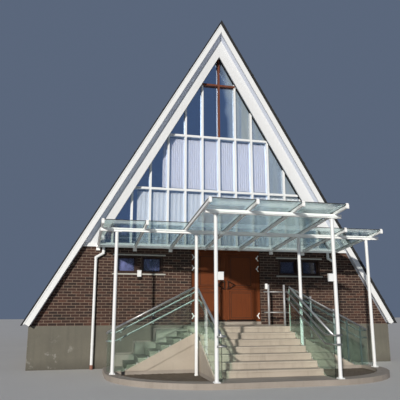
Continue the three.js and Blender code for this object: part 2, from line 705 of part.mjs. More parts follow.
function handrails(sign) {
    const shift = (x) => ENTRANCE_X - sign * x;
    const x0 = -STAIR_HALF + RAIL_INSET;
    const y0 = LANDING_Y + RAIL_INSET;
    const x1 = -STAIR_HALF - STEPS * SIDE_TREAD;
    const y1 = RAIL_FRONT.level;
    const y2 = RAIL_FRONT.end;
    const sideDrop = ((x1 - x0) * RISER) / SIDE_TREAD;
    const frontDrop = ((y1 - y0) * RISER) / TREAD;
    const parts = [];
    for (const level of RAIL_LEVELS) {
        const top = FLOOR + level;
        const foot = top + sideDrop;
        parts.push(bar([shift(x0), y0, top], [shift(x1), y0, foot], RAIL_RADIUS));
        parts.push(bar([shift(x1), y0, foot], [shift(x1 - RAIL_END), y0, foot], RAIL_RADIUS));
        parts.push(bar([shift(x0), y0, top], [shift(x0), y1, top + frontDrop], RAIL_RADIUS));
        parts.push(bar([shift(x0), y1 + 4, top + frontDrop], [shift(x0), y2 - RAIL_RADIUS / 2, top + frontDrop],
            RAIL_RADIUS));
        parts.push(bar([shift(x0), y2, top + frontDrop], [shift(-RAIL_FRONT.across), y2, top + frontDrop],
            RAIL_RADIUS));
        for (const share of BRACKET_SHARES) {
            const x = x0 + (x1 - x0) * share;
            const z = top + sideDrop * share;
            parts.push(bar([shift(x), y0, z], [shift(x), PANE_INNER_Y + GAP, z], BRACKET_RADIUS));
        }
        for (const share of BRACKET_SHARES) {
            const y = y0 + (y1 - y0) * share;
            const z = top + ((y - y0) * RISER) / TREAD;
            parts.push(bar([shift(x0), y, z], [shift(-STAIR_HALF), y, z], BRACKET_RADIUS));
        }
    }
    const [high, low] = RAIL_LEVELS.map((level) => FLOOR + level);
    parts.push(bar([shift(x0), y0, low], [shift(x0), y0, high], RAIL_RADIUS));
    return join(parts);
}

for (const [side, sign] of [['left', -1], ['right', 1]]) {
    place(`balustrade_glass_${side}`, balustradeGlass(sign), 'canopyGlass');
    place(`cap_rail_${side}`, capRail(sign), 'steel');
    place(`handrails_${side}`, handrails(sign), 'steel');
}

// Rail beyond the door on the right, level over the top planting box and then down along the lower ones
const RAIL_LINE_Y = -520;
const RAIL_LEVEL_END = 1810;
const RAIL_ENDS = [1050, 3230];
const RAIL_SLOPE = 0.5;
const RAIL_POSTS = [
    [1190, FLOOR],
    [1655, PLANTER_LEVELS[0]],
    [2450, PLANTER_LEVELS[1]],
    [3150, PLANTER_LEVELS[2]],
];
const RAIL_POST_TOP = FLOOR + 1100;
const RAIL_POST_RADIUS = 24;
const RAIL_HEIGHTS = [FLOOR + 339, FLOOR + 898];

function railDrop(x) {
    return Math.max(0, x - RAIL_LEVEL_END) * RAIL_SLOPE;
}

const landingRail = RAIL_POSTS.map(([x, foot]) => bar([x, RAIL_LINE_Y, foot + GAP],
    [x, RAIL_LINE_Y, RAIL_POST_TOP - railDrop(x)], RAIL_POST_RADIUS, 12));
for (const z of RAIL_HEIGHTS) {
    landingRail.push(bar([RAIL_ENDS[0], RAIL_LINE_Y, z], [RAIL_LEVEL_END, RAIL_LINE_Y, z], 17));
    landingRail.push(bar([RAIL_LEVEL_END - 5, RAIL_LINE_Y, z],
        [RAIL_ENDS[1], RAIL_LINE_Y, z - railDrop(RAIL_ENDS[1])], 17));
}
place('landing_rail', join(landingRail), 'steel');

// A downpipe under each end of the canopy's gutter
const PIPE_RADIUS = 38;
const PIPES = { left: [-3571, -3375], right: [3500, 3290] };
const PIPE_Y = -80;
const PIPE_ELBOW = 2960;

function downpipe([x, innerX]) {
    return join([
        bar([x, PIPE_Y, GROUND + GAP], [x, PIPE_Y, PIPE_ELBOW], PIPE_RADIUS, 10),
        bar([x, PIPE_Y, PIPE_ELBOW - 20], [innerX, PIPE_Y, PIPE_ELBOW + 100], PIPE_RADIUS, 10),
        bar([innerX, PIPE_Y, PIPE_ELBOW + 80], [innerX, PIPE_Y, GUTTER.foot - GAP], PIPE_RADIUS, 10),
    ]);
}

place('downpipe_left', downpipe(PIPES.left), 'white');
place('downpipe_right', downpipe(PIPES.right), 'white');

// Wall lamp between the left windows, on the sill strip
place('wall_lamp', box(-2440, -2330, -STRIP_PROUD - GAP - 50, -STRIP_PROUD - GAP, 2438, 2610), 'white');

// Pleated curtains behind the two lower rows of panes
const CURTAIN_DEPTH = 40;
const CURTAINS = {
    lower: [-2460, 2600, 3400, 4965],
    upper: [-1730, 1600, 5085, 6660],
};
for (const [row, [x0, x1, z0, z1]] of Object.entries(CURTAINS)) {
    place(`curtain_${row}`, box(x0, x1, WALL + GAP, WALL + GAP + CURTAIN_DEPTH, z0, z1), 'cloth');
}

// The origin goes under the middle of the whole building
const FRONT_REACH = Math.min(KERB_FRONT_Y, FRONT_END_Y - 12);
church.position.y = -(FRONT_REACH + NAVE + OVERHANG) / 2;
church.position.z = -GROUND;

export default church;
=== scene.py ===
import math
import random

import bmesh
import bpy
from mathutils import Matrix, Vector


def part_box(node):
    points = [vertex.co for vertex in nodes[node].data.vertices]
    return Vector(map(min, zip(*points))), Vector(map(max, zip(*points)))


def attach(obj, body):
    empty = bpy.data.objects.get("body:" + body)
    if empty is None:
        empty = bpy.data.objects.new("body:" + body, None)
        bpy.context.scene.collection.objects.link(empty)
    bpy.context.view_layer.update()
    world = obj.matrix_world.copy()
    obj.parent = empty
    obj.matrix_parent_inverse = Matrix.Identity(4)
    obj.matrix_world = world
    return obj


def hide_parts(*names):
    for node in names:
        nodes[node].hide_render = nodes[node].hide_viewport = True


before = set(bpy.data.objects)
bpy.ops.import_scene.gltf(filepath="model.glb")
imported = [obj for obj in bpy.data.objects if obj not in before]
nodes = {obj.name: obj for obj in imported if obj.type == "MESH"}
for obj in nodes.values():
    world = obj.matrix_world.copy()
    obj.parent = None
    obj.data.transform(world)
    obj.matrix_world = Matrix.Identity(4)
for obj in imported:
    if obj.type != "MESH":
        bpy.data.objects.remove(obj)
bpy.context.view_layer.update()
BUILDING = "building"
SIDES = (("left", -1), ("right", 1))
ENDS = (("front", -1), ("back", 1))
draw = random.Random(11)


def face_of(name, out):
    """Depth of a piece's outer face: its front for out -1, its back for out 1."""
    low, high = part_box(name)
    return low.y if out < 0 else high.y


def about(middle, half):
    return middle - half, middle + half


def over_floor(heights):
    return tuple(FLOOR + height for height in heights)


# Main levels and faces, read from the construction
FRONT = face_of("front_wall_left", -1)
BACK = face_of("back_wall", 1)
SILL_FACE = face_of("front_sill_beam", -1)
FASCIA_FRONT = face_of("front_fascia", -1)
FASCIA_BACK = face_of("back_fascia", 1)
BRICK_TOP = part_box("front_wall_left")[1].z
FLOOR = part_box("floor_slab")[1].z
KERB_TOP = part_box("kerb")[1].z
TAN = math.tan(math.radians(60))
HALF_AT_FLOOR = -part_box("front_wall_left")[0].x
SOFFIT_APEX = FLOOR + HALF_AT_FLOOR * TAN
ROOF_APEX = SOFFIT_APEX + 0.36
FASCIA_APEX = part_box("front_fascia")[1].z
SLOPE_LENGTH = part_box("roof_right")[1].x * 2
WALL = 0.35

# Stair; the depths of the landing and of the side flights' back are counted from the wall's face
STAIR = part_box("front_steps")
STRING = 0.04
ENTRANCE_X = (STAIR[0].x + STAIR[1].x) / 2
STAIR_HALF = (STAIR[1].x - STAIR[0].x) / 2 - STRING
LANDING = -1.65
FLIGHT_BACK = -0.55
STEPS = 7
RISER = 0.14
TREAD = 0.29
SIDE_TREAD = 0.28
FRONT_FALL = RISER / TREAD
SIDE_FALL = RISER / SIDE_TREAD

# Doorway
DOOR_X = 0.12
DOORWAY = about(DOOR_X, 1.03)
LEAF_FACE = FRONT + 0.07


def rectangle(xs, zs):
    return [(xs[0], zs[0]), (xs[1], zs[0]), (xs[1], zs[1]), (xs[0], zs[1])]


def on_slope(apex, sign, along, lift):
    """A place (x, z) at a roof slope: along metres down from its apex, lift metres off its face."""
    return sign * (along * 0.5 + lift * TAN / 2), apex - along * TAN / 2 + lift * 0.5


def at_height(apex, sign, z):
    """The place (x, z) where a roof slope from that apex reaches a height."""
    return sign * (apex - z) / TAN, z


def band(sign, apexes, foot):
    """Outline of a strip along a roof slope, from the apexes of its two edges down to a height."""
    return [(0, apexes[0]), (0, apexes[1]), *(at_height(apex, sign, foot) for apex in apexes[::-1])]


def entrance(sign, u, y, z):
    """A point u metres to one side of the stair's middle, its depth counted from the wall's face."""
    return Vector((ENTRANCE_X + sign * u, FRONT + y, z))


def sideways(sign, near, far):
    return sorted((ENTRANCE_X + sign * near, ENTRANCE_X + sign * far))


def grid_faces(rows, columns):
    """Faces between points that were listed row by row."""
    corners = [row * (columns + 1) + column for row in range(rows) for column in range(columns)]
    return [[corner, corner + columns + 1, corner + columns + 2, corner + 1] for corner in corners]


def rounded(path, radius, steps=5):
    """The path with each inner corner turned into a short arc."""
    path = [Vector(point) for point in path]
    result = [path[0]]
    for before, corner, after in zip(path, path[1:], path[2:]):
        reach = min(radius, (corner - before).length * 0.45, (after - corner).length * 0.45)
        start = corner + (before - corner).normalized() * reach
        end = corner + (after - corner).normalized() * reach
        for step in range(steps + 1):
            share = step / steps
            result.append(start.lerp(corner, share).lerp(corner.lerp(end, share), share))
    return result + [path[-1]]


def turn_outwards(mesh):
    """Face normals out of every closed form in the mesh."""
    work = bmesh.new()
    work.from_mesh(mesh)
    bmesh.ops.recalc_face_normals(work, faces=work.faces)
    work.to_mesh(mesh)
    work.free()


class Shape:
    """Forms gathered into one mesh, each with a tone of its own between 0 and 1."""

    def __init__(self):
        self.points = []
        self.faces = []
        self.tones = []

    def add(self, points, faces, tone=0.5):
        start = len(self.points)
        self.points += [tuple(point) for point in points]
        self.faces += [[start + corner for corner in face] for face in faces]
        self.tones += [tone] * len(faces)

    def loft(self, first, last, tone=0.5):
        """A closed form between two outlines with the same number of points."""
        count = len(first)
        faces = [list(range(count))[::-1], list(range(count, 2 * count))]
        for corner in range(count):
            after = (corner + 1) % count
            faces.append([corner, after, count + after, count + corner])
        self.add([*first, *last], faces, tone)

    def plank(self, outline, ys, tone=0.5):
        """An (x, z) outline carried from one depth to another."""
        self.loft(*([(x, y, z) for x, z in outline] for y in ys), tone)

    def box(self, xs, ys, zs, tone=0.5):
        self.plank(rectangle(xs, zs), ys, tone)

    def border(self, xs, ys, zs, width, lap=0.0):
        """Four bars inside an upright rectangle; the level ones reach lap metres into the upright ones."""
        between = (xs[0] + width - lap, xs[1] - width + lap)
        for x in ((xs[0], xs[0] + width), (xs[1] - width, xs[1])):
            self.box(x, ys, zs)
        for z in ((zs[0], zs[0] + width), (zs[1] - width, zs[1])):
            self.box(between, ys, z)

    def rod(self, x, y, z, radius, sides=16):
        """A straight round bar; the one of x, y and z that is a pair gives its two ends."""
        ends = zip(*(place if isinstance(place, tuple) else (place, place) for place in (x, y, z)))
        self.tube(list(ends), radius, sides)

    def tube(self, path, radius, sides, closed=False):
        """A round tube along a path, with flat ends or closed on itself."""
        path = [Vector(point) for point in path]
        count = len(path)
        tangents = []
        for index, point in enumerate(path):
            before = path[index - 1] if closed or index else point
            after = path[(index + 1) % count] if closed or index + 1 < count else point
            tangents.append((after - before).normalized())
        side = tangents[0].orthogonal().normalized()
        turns = [2 * math.pi * k / sides for k in range(sides)]
        points = []
        for point, tangent in zip(path, tangents):
            side = (side - tangent * side.dot(tangent)).normalized()
            up = tangent.cross(side)
            points += [point + (side * math.cos(turn) + up * math.sin(turn)) * radius for turn in turns]
        faces = []
        for ring in range(count if closed else count - 1):
            low, high = ring * sides, ((ring + 1) % count) * sides
            for k in range(sides):
                after = (k + 1) % sides
                faces.append([low + k, low + after, high + after, high + k])
        if not closed:
            faces.append(list(range(sides))[::-1])
            faces.append(list(range((count - 1) * sides, count * sides)))
        self.add(points, faces)

    def make(self, name, look, body=BUILDING, bevel=0.0, smooth=False, replaces=(), closed=True):
        mesh = bpy.data.meshes.new(name)
        mesh.from_pydata(self.points, [], self.faces)
        if closed:
            turn_outwards(mesh)
        mesh.materials.append(look)
        tones = mesh.attributes.new("tone", "FLOAT", "FACE")
        tones.data.foreach_set("value", self.tones)
        mesh.update()
        piece = bpy.data.objects.new(name, mesh)
        bpy.context.scene.collection.objects.link(piece)
        if smooth:
            mesh.polygons.foreach_set("use_smooth", [len(face) == 4 for face in self.faces])
        if bevel:
            edge = piece.modifiers.new("edge", "BEVEL")
            edge.width = bevel
            edge.segments = 2
            edge.limit_method = "ANGLE"
        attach(piece, body)
        if replaces:
            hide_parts(*replaces)
        return piece


class Look:
    """A node material around the Principled shader, with textures in the building's own coordinates."""

    def __init__(self, name, roughness=0.5, metallic=0.0):
        self.material = bpy.data.materials.new(name)
        self.material.use_nodes = True
        self.tree = self.material.node_tree
        self.shader = self.tree.nodes["Principled BSDF"]
        self.put("Roughness", roughness)
        self.put("Metallic", metallic)
        self.place = self.node("ShaderNodeTexCoord").outputs["Object"]
        self.normal = None

    def feed(self, socket, value):
        """A node's result or a plain value for a socket."""
        if isinstance(value, bpy.types.NodeSocket):
            self.tree.links.new(value, socket)
        elif isinstance(value, tuple) and len(value) == 3 and socket.type == "RGBA":
            socket.default_value = (*value, 1)
        else:
            socket.default_value = value

    def put(self, name, value):
        self.feed(self.shader.inputs[name], value)

    def node(self, kind, inputs=None, **settings):
        made = self.tree.nodes.new(kind)
        for key, value in settings.items():
            setattr(made, key, value)
        for key, value in (inputs or {}).items():
            self.feed(made.inputs[key], value)
        return made

    def stretched(self, x, y, z, turn=0.0):
        """Coordinates scaled along each axis and turned about the depth axis."""
        inputs = {"Vector": self.place, "Scale": (x, y, z), "Rotation": (0, turn, 0)}
        return self.node("ShaderNodeMapping", inputs).outputs["Vector"]

    def noise(self, scale, detail=3.0, rough=0.5, where=None, twist=0.0):
        inputs = {"Vector": where or self.place, "Scale": scale, "Detail": detail, "Roughness": rough,
                  "Distortion": twist}
        return self.node("ShaderNodeTexNoise", inputs).outputs["Fac"]

    def spots(self, scale):
        return self.node("ShaderNodeTexVoronoi", {"Vector": self.place, "Scale": scale}).outputs["Distance"]

    def axis(self, name):
        return self.node("ShaderNodeSeparateXYZ", {"Vector": self.place}).outputs[name]

    def tone(self):
        return self.node("ShaderNodeAttribute", attribute_name="tone").outputs["Fac"]

    def span(self, value, low, high, to_low=0.0, to_high=1.0):
        inputs = {"Value": value, "From Min": low, "From Max": high, "To Min": to_low, "To Max": to_high}
        return self.node("ShaderNodeMapRange", inputs).outputs["Result"]

    def within(self, name, low, high, soft=0.01):
        """1 where the coordinate lies between low and high, 0 outside."""
        place = self.axis(name)
        return self.times(self.span(place, *about(low, soft)), self.span(place, *about(high, soft), 1, 0))

    def math(self, kind, first, second):
        return self.node("ShaderNodeMath", {0: first, 1: second}, operation=kind).outputs["Value"]

    def times(self, first, second):
        return self.math("MULTIPLY", first, second)

    def ramp(self, value, *stops):
        made = self.node("ShaderNodeValToRGB", {"Fac": value})
        while len(made.color_ramp.elements) < len(stops):
            made.color_ramp.elements.new(0.5)
        for element, (position, colour) in zip(made.color_ramp.elements, stops):
            element.position = position
            element.color = (*colour, 1)
        return made.outputs["Color"]

    def mix(self, share, first, second):
        inputs = {"Factor": share, 6: first, 7: second}
        return self.node("ShaderNodeMix", inputs, data_type="RGBA").outputs[2]

    def over(self, colour, other, share, amount):
        """The colour with the other one over it, by a share times an amount."""
        return self.mix(self.times(share, amount), colour, other)

    def colour(self, value):
        self.put("Base Color", value)

    def roughness(self, value):
        self.put("Roughness", value)

    def bump(self, height, depth, strength=1.0):
        inputs = {"Distance": depth, "Strength": strength, "Height": height}
        if self.normal:
            inputs["Normal"] = self.normal
        self.normal = self.node("ShaderNodeBump", inputs).outputs["Normal"]
        self.put("Normal", self.normal)

    def lets_light_through(self, colour):
        """Rays from lamps pass the surface tinted, as through thin glass."""
        rays = self.node("ShaderNodeLightPath").outputs["Is Shadow Ray"]
        clear = self.node("ShaderNodeBsdfTransparent", {"Color": colour}).outputs["BSDF"]
        mix = self.node("ShaderNodeMixShader", {"Fac": rays, 1: self.shader.outputs["BSDF"], 2: clear})
        self.feed(self.tree.nodes["Material Output"].inputs["Surface"], mix.outputs["Shader"])


def weathered(look, base, dark, scale, amount):
    """Base colour with broad soft patches and fine grain."""
    patches = look.span(look.noise(scale, 5, 0.6), 0.35, 0.7)
    grain = look.span(look.noise(scale * 40, 3, 0.6), 0.3, 0.7)
    return look.over(look.over(base, dark, patches, amount), dark, grain, amount * 0.35)


def plinth_look():
    """Stained render, darker towards its foot, and paler patches near its left end."""
    look = Look("plinth_concrete", roughness=0.9)
    colour = weathered(look, (0.160, 0.148, 0.117), (0.104, 0.098, 0.080), 0.9, 0.7)
    streaks = look.span(look.noise(1.0, 4, 0.6, look.stretched(9, 9, 0.5)), 0.5, 0.78)
    colour = look.over(colour, (0.085, 0.080, 0.067), streaks, 0.45)
    wavy = look.math("ADD", look.axis("Z"), look.span(look.noise(2.2, 4), 0, 1, -0.12, 0.12))
    colour = look.mix(look.span(wavy, 0.0, 0.32, 0.75, 0.0), colour, (0.080, 0.074, 0.060))
    pale = look.span(look.noise(3.2, 5, 0.7), 0.58, 0.70)
    pale = look.times(pale, look.span(look.axis("Z"), 0.35, 1.0, 1.0, 0.0))
    colour = look.over(colour, (0.34, 0.33, 0.30), pale, look.span(look.axis("X"), -4.3, -3.8, 0.85, 0.12))
    pits = look.span(look.spots(11), 0.0, 0.12, 0.5, 0.0)
    look.colour(look.mix(pits, colour, (0.065, 0.062, 0.054)))
    look.bump(look.noise(60, 5, 0.7), 0.004, 0.5)
    look.bump(look.noise(6, 3), 0.006, 0.3)
    return look.material


def brick_look():
    look = Look("brick_face", roughness=0.85)
    tones = look.ramp(look.tone(), (0.0, (0.014, 0.007, 0.005)), (0.35, (0.031, 0.012, 0.008)),
                      (0.7, (0.053, 0.020, 0.012)), (1.0, (0.088, 0.036, 0.022)))
    burn = look.span(look.noise(14, 4, 0.65), 0.42, 0.72)
    colour = look.over(tones, (0.020, 0.010, 0.009), burn, 0.55)
    bloom = look.span(look.noise(30, 3, 0.7), 0.62, 0.85)
    look.colour(look.over(colour, (0.30, 0.24, 0.20), bloom, 0.22))
    look.bump(look.noise(170, 4, 0.7), 0.0016, 0.7)
    look.bump(look.noise(22, 3), 0.002, 0.4)
    return look.material


def mortar_look():
    look = Look("brick_mortar", roughness=0.95)
    look.colour(weathered(look, (0.255, 0.190, 0.145), (0.16, 0.118, 0.088), 2.0, 0.6))
    look.bump(look.noise(220, 3, 0.7), 0.001, 0.6)
    return look.material


def white_look(name="white_paint", base=(0.79, 0.80, 0.805), roughness=0.42, dirt=0.10):
    look = Look(name, roughness=roughness)
    colour = weathered(look, base, (0.56, 0.55, 0.51), 1.7, dirt)
    drips = look.span(look.noise(1.0, 4, 0.65, look.stretched(26, 26, 1.2)), 0.62, 0.85)
    look.colour(look.over(colour, (0.44, 0.43, 0.39), drips, dirt * 1.6))
    look.roughness(look.span(look.noise(9, 3), 0.3, 0.7, roughness - 0.06, roughness + 0.12))
    look.bump(look.noise(90, 2), 0.0006, 0.3)
    return look.material


def cladding_look():
    """White upright boards with faint seams."""
    look = Look("white_cladding", roughness=0.5)
    colour = weathered(look, (0.715, 0.725, 0.735), (0.56, 0.56, 0.54), 1.1, 0.16)
    boards = look.node("ShaderNodeTexWave", {"Vector": look.place, "Scale": 2.4},
                       bands_direction="X", wave_profile="SAW")
    seam = look.span(boards.outputs["Fac"], 0.0, 0.06, 1.0, 0.0)
    look.colour(look.over(colour, (0.42, 0.41, 0.38), seam, 0.22))
    look.bump(look.math("SUBTRACT", 1.0, seam), 0.004, 0.7)
    return look.material


def shingle_look():
    look = Look("roof_shingle", roughness=0.93)
    tones = look.ramp(look.tone(), (0.0, (0.014, 0.015, 0.017)), (0.6, (0.030, 0.031, 0.034)),
                      (1.0, (0.052, 0.053, 0.056)))
    grains = look.span(look.noise(420, 2, 0.8), 0.3, 0.75)
    colour = look.over(tones, (0.085, 0.085, 0.088), grains, 0.5)
    moss = look.span(look.noise(1.6, 5, 0.65), 0.56, 0.78)
    look.colour(look.over(colour, (0.050, 0.056, 0.040), moss, 0.35))
    look.bump(look.noise(520, 2, 0.8), 0.0012, 0.9)
    return look.material


def wood_paint_look(name, light, dark, along_x=70, roughness=0.38):
    """Painted or stained wood with an upright grain."""
    look = Look(name, roughness=roughness)
    grain = look.noise(1.0, 5, 0.62, look.stretched(along_x, along_x, 2.6), 0.6)
    colour = look.ramp(look.span(grain, 0.3, 0.72), (0.0, dark), (0.45, light), (1.0, light))
    worn = look.span(look.noise(2.1, 4, 0.6), 0.4, 0.75)
    look.colour(look.over(colour, dark, worn, 0.3))
    look.roughness(look.span(grain, 0.3, 0.7, roughness, roughness + 0.14))
    look.bump(grain, 0.0012, 0.5)
    look.put("Specular IOR Level", 0.25)
    return look.material


# Depths between which the string walls turn to their darker colours of painted shade
STRING_TURN = (FRONT + LANDING + 0.030, FRONT + LANDING + 0.040)


def concrete_look(name, base, dark, stain=0.5, behind=None):
    """Stained concrete; the colours given as behind are painted shade, darker colours for the part further
    back.
    """
    look = Look(name, roughness=0.85)
    colour = weathered(look, base, dark, 1.4, 0.55)
    if behind:
        share = look.span(look.axis("Y"), *STRING_TURN)
        colour = look.mix(share, colour, weathered(look, *behind, 1.4, 0.55))
    runs = look.span(look.noise(1.0, 5, 0.62, look.stretched(7, 7, 1.1)), 0.52, 0.8)
    colour = look.over(colour, tuple(0.72 * part for part in dark), runs, stain)
    pores = look.span(look.spots(55), 0.0, 0.16, 0.55, 0.0)
    look.colour(look.mix(pores, colour, tuple(0.55 * part for part in dark)))
    look.bump(look.noise(130, 4, 0.7), 0.0018, 0.6)
    look.bump(look.noise(9, 3), 0.003, 0.25)
    return look.material


# Depth at which the haze of the canopy's glass ends
HAZE_END = FRONT - 0.9


def clear_glass_look(name, tint, dusty, shade, open_to=None, roughness=0.015, clear=1.0):
    """Tinted sheet glass that shows what is behind it, with faint cloudy dust.

    With open_to, the strip in front of that depth throws hardly any shadow, and the glass is hazy there.
    """
    look = Look(name, roughness=roughness)
    dust = look.span(look.noise(1.6, 4, 0.6), 0.4, 0.75)
    look.colour(look.over(tint, dusty, dust, 0.5))
    look.put("Transmission Weight", clear)
    look.put("IOR", 1.45)
    if open_to is None:
        look.roughness(look.span(look.noise(3.0, 3), 0.3, 0.75, roughness, roughness + 0.03))
    else:
        look.roughness(look.span(look.axis("Y"), open_to - 0.2, HAZE_END, roughness, 0.012))
        shade = look.mix(look.span(look.axis("Y"), *about(open_to, 0.004)), (0.93, 0.95, 0.95), shade)
    look.lets_light_through(shade)
    return look.material


def gable_glass_look():
    """Slate-blue panes that lighten to grey-green beyond a slanting line of reflected light."""
    look = Look("gable_glass", roughness=0.04)
    slant = look.math("ADD", look.axis("X"), look.times(look.axis("Z"), 0.12))
    slant = look.math("ADD", slant, look.span(look.noise(0.9, 3, 0.5), 0, 1, -0.25, 0.25))
    beyond = look.span(look.axis("X"), 1.60, 1.66)
    beside = look.math("MAXIMUM", look.span(look.axis("Z"), 6.66, 6.68), beyond)
    light = look.times(look.span(slant, 1.06, 1.42), beside)
    streaks = look.span(look.noise(1.0, 2, 0.5, look.stretched(5.0, 1, 0.12, math.radians(17))), 0.40, 0.62)
    share = look.times(light, look.span(streaks, 0, 1, 0.45, 1.0))
    look.colour(look.mix(share, (0.55, 0.72, 0.98), (0.36, 0.43, 0.48)))
    look.put("Metallic", look.span(share, 0, 1, 1.0, 0.1))
    veil = look.span(share, 0, 1, 0.78, 0.52)
    for row in ("lower", "upper"):
        low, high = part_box(f"curtain_{row}")
        inside = look.times(look.within("X", low.x, high.x), look.within("Z", low.z, high.z))
        veil = look.times(veil, look.span(inside, 0, 1, 1.0, 0.40))
    look.put("Alpha", veil)
    look.roughness(look.span(look.noise(4.0, 3), 0.3, 0.7, 0.03, 0.08))
    look.put("Specular IOR Level", 0.8)
    look.lets_light_through((0.94, 0.95, 0.97))
    return look.material


def pane_glass_look():
    """Small panes with violet-blue reflections."""
    look = Look("small_pane_glass", roughness=0.05)
    veil = look.noise(1.0, 3, 0.5, look.stretched(3.2, 1.0, 1.2, math.radians(35)), 0.4)
    share = look.times(look.span(veil, 0.38, 0.66), look.span(look.axis("X"), -0.5, 0.5, 1.0, 0.3))
    look.colour(look.mix(share, (0.030, 0.036, 0.070), (0.165, 0.185, 0.380)))
    look.put("Alpha", look.span(share, 0, 1, 0.55, 0.80))
    look.roughness(look.span(look.noise(6.0, 3), 0.3, 0.7, 0.04, 0.10))
    look.lets_light_through((0.85, 0.88, 0.92))
    return look.material


def steel_look(name, dark, light, roughness=0.3):
    look = Look(name, roughness=roughness, metallic=0.9)
    brushed = look.noise(1.0, 3, 0.7, look.stretched(60, 60, 900))
    look.colour(look.ramp(brushed, (0.25, dark), (0.8, light)))
    look.roughness(look.span(brushed, 0.3, 0.7, roughness - 0.08, roughness + 0.12))
    look.bump(brushed, 0.0002, 0.3)
    return look.material


def plain_look(name, base, dark, scale, roughness, metallic=0.0, depth=0.001):
    look = Look(name, roughness=roughness, metallic=metallic)
    look.colour(weathered(look, base, dark, scale, 0.6))
    look.bump(look.noise(scale * 60, 3, 0.6), depth, 0.5)
    return look.material


def cloth_look(name, base, shade):
    look = Look(name, roughness=0.95)
    threads = look.noise(1.0, 3, 0.6, look.stretched(420, 420, 30))
    # Broad upright bands of painted shade, as in folds; the fine threads use the same darker colour for the
    # weave
    broad = look.span(look.noise(1.0, 3, 0.5, look.stretched(11, 1, 1.4)), 0.35, 0.7)
    colour = look.over(base, shade, broad, 0.5)
    look.colour(look.over(colour, shade, look.span(threads, 0.3, 0.7), 0.2))
    look.bump(threads, 0.0006, 0.5)
    look.put("Sheen Weight", 0.25)
    return look.material


PLINTH = plinth_look()
BRICK = brick_look()
MORTAR = mortar_look()
WHITE = white_look()
CLADDING = cladding_look()
# Greyer, bluer copy of the white paint for the boards under the overhangs: painted shade
SOFFIT = white_look("soffit_paint_painted_shade", (0.62, 0.66, 0.76), 0.6, 0.02)
# Whiter copy of the white paint, partly painted light: it makes the canopy's frame, the hinge fittings and
# the landing rail's cap brighter
CANOPY_WHITE = white_look("canopy_paint_and_painted_light", (0.93, 0.93, 0.92), 0.4, 0.04)
TRIM = white_look("grey_strip", (0.42, 0.40, 0.36), 0.7, 0.3)
SHINGLE = shingle_look()
DOOR = wood_paint_look("door_paint", (0.138, 0.032, 0.006), (0.094, 0.021, 0.004), 70, 0.6)
CROSS = wood_paint_look("cross_wood", (0.165, 0.055, 0.030), (0.090, 0.030, 0.016))
CASING = wood_paint_look("casing_wood", (0.040, 0.020, 0.014), (0.018, 0.009, 0.007))
LINING = wood_paint_look("ceiling_boards", (0.50, 0.48, 0.42), (0.36, 0.34, 0.29), 40, 0.6)
# Darker copies of the stair's concrete colours: painted shade on the side flights' steps and on the back of
# the string walls
PAINTED_SHADE_COLOURS = ((0.175, 0.155, 0.127), (0.106, 0.094, 0.075))
CONCRETE = concrete_look("stair_concrete", (0.46, 0.40, 0.33), (0.30, 0.255, 0.205))
SIDE_CONCRETE_PAINTED_SHADE = concrete_look("side_concrete_painted_shade", *PAINTED_SHADE_COLOURS, 0.6)
STRING_CONCRETE = concrete_look("string_concrete_painted_shade_behind", (0.455, 0.395, 0.325), (0.32, 0.272, 0.220), 0.3, PAINTED_SHADE_COLOURS)
KERB = concrete_look("kerb_concrete", (0.346, 0.302, 0.262), (0.225, 0.196, 0.165), 0.4)
GABLE_GLASS = gable_glass_look()
PANE_GLASS = pane_glass_look()
CANOPY_TINTS = ((0.70, 0.86, 0.86), (0.64, 0.80, 0.81), (0.03, 0.04, 0.04))
MIDDLE_CANOPY_GLASS = clear_glass_look("canopy_glass", *CANOPY_TINTS, FRONT - 4.03, 0.12, 0.87)
SIDE_CANOPY_GLASS = clear_glass_look("side_canopy_glass", *CANOPY_TINTS, FRONT - 2.22, 0.05, 0.90)
RAIL_SHADE = (0.74, 0.84, 0.81)
RAIL_GLASS = clear_glass_look("rail_glass", (0.715, 0.835, 0.80), (0.66, 0.79, 0.75), RAIL_SHADE)
# Darker copy of the balustrade glass for the right-hand side: painted shade over what is seen through it
DARK_RAIL_GLASS = clear_glass_look("right_rail_glass_painted_shade", (0.62, 0.74, 0.70), (0.57, 0.69, 0.65), RAIL_SHADE)
GLASS_EDGE = plain_look("glass_edge", (0.42, 0.58, 0.50), (0.26, 0.42, 0.36), 3.0, 0.15)
STEEL = steel_look("bright_steel", (0.52, 0.52, 0.52), (0.76, 0.76, 0.75))
RAIL_STEEL = steel_look("rail_steel", (0.27, 0.27, 0.275), (0.46, 0.46, 0.46), 0.46)
JOINT_POST = plain_look("joint_post", (0.085, 0.125, 0.125), (0.05, 0.075, 0.075), 4.0, 0.4, 0.3)
POST_STEEL = plain_look("post_steel", (0.46, 0.46, 0.47), (0.34, 0.34, 0.36), 5.0, 0.45, 0.2)
DARK_STEEL = plain_look("dark_steel", (0.030, 0.022, 0.018), (0.014, 0.011, 0.010), 6.0, 0.4, 0.6)
GROOVE = plain_look("groove_shade", (0.022, 0.007, 0.003), (0.014, 0.005, 0.003), 6.0, 0.8)
RUBBER = plain_look("seal_rubber", (0.016, 0.017, 0.018), (0.008, 0.008, 0.009), 9.0, 0.8)
SOIL = plain_look("bed_soil", (0.125, 0.096, 0.070), (0.060, 0.046, 0.033), 7.0, 0.98, 0.0, 0.01)
PIPE_SHOE = plain_look("pipe_shoe", (0.30, 0.13, 0.09), (0.16, 0.07, 0.05), 9.0, 0.7)
UPPER_CLOTH = cloth_look("upper_cloth", (0.93, 0.92, 0.94), (0.80, 0.79, 0.84))
LOWER_CLOTH = cloth_look("lower_cloth", (0.95, 0.96, 0.93), (0.74, 0.77, 0.76))

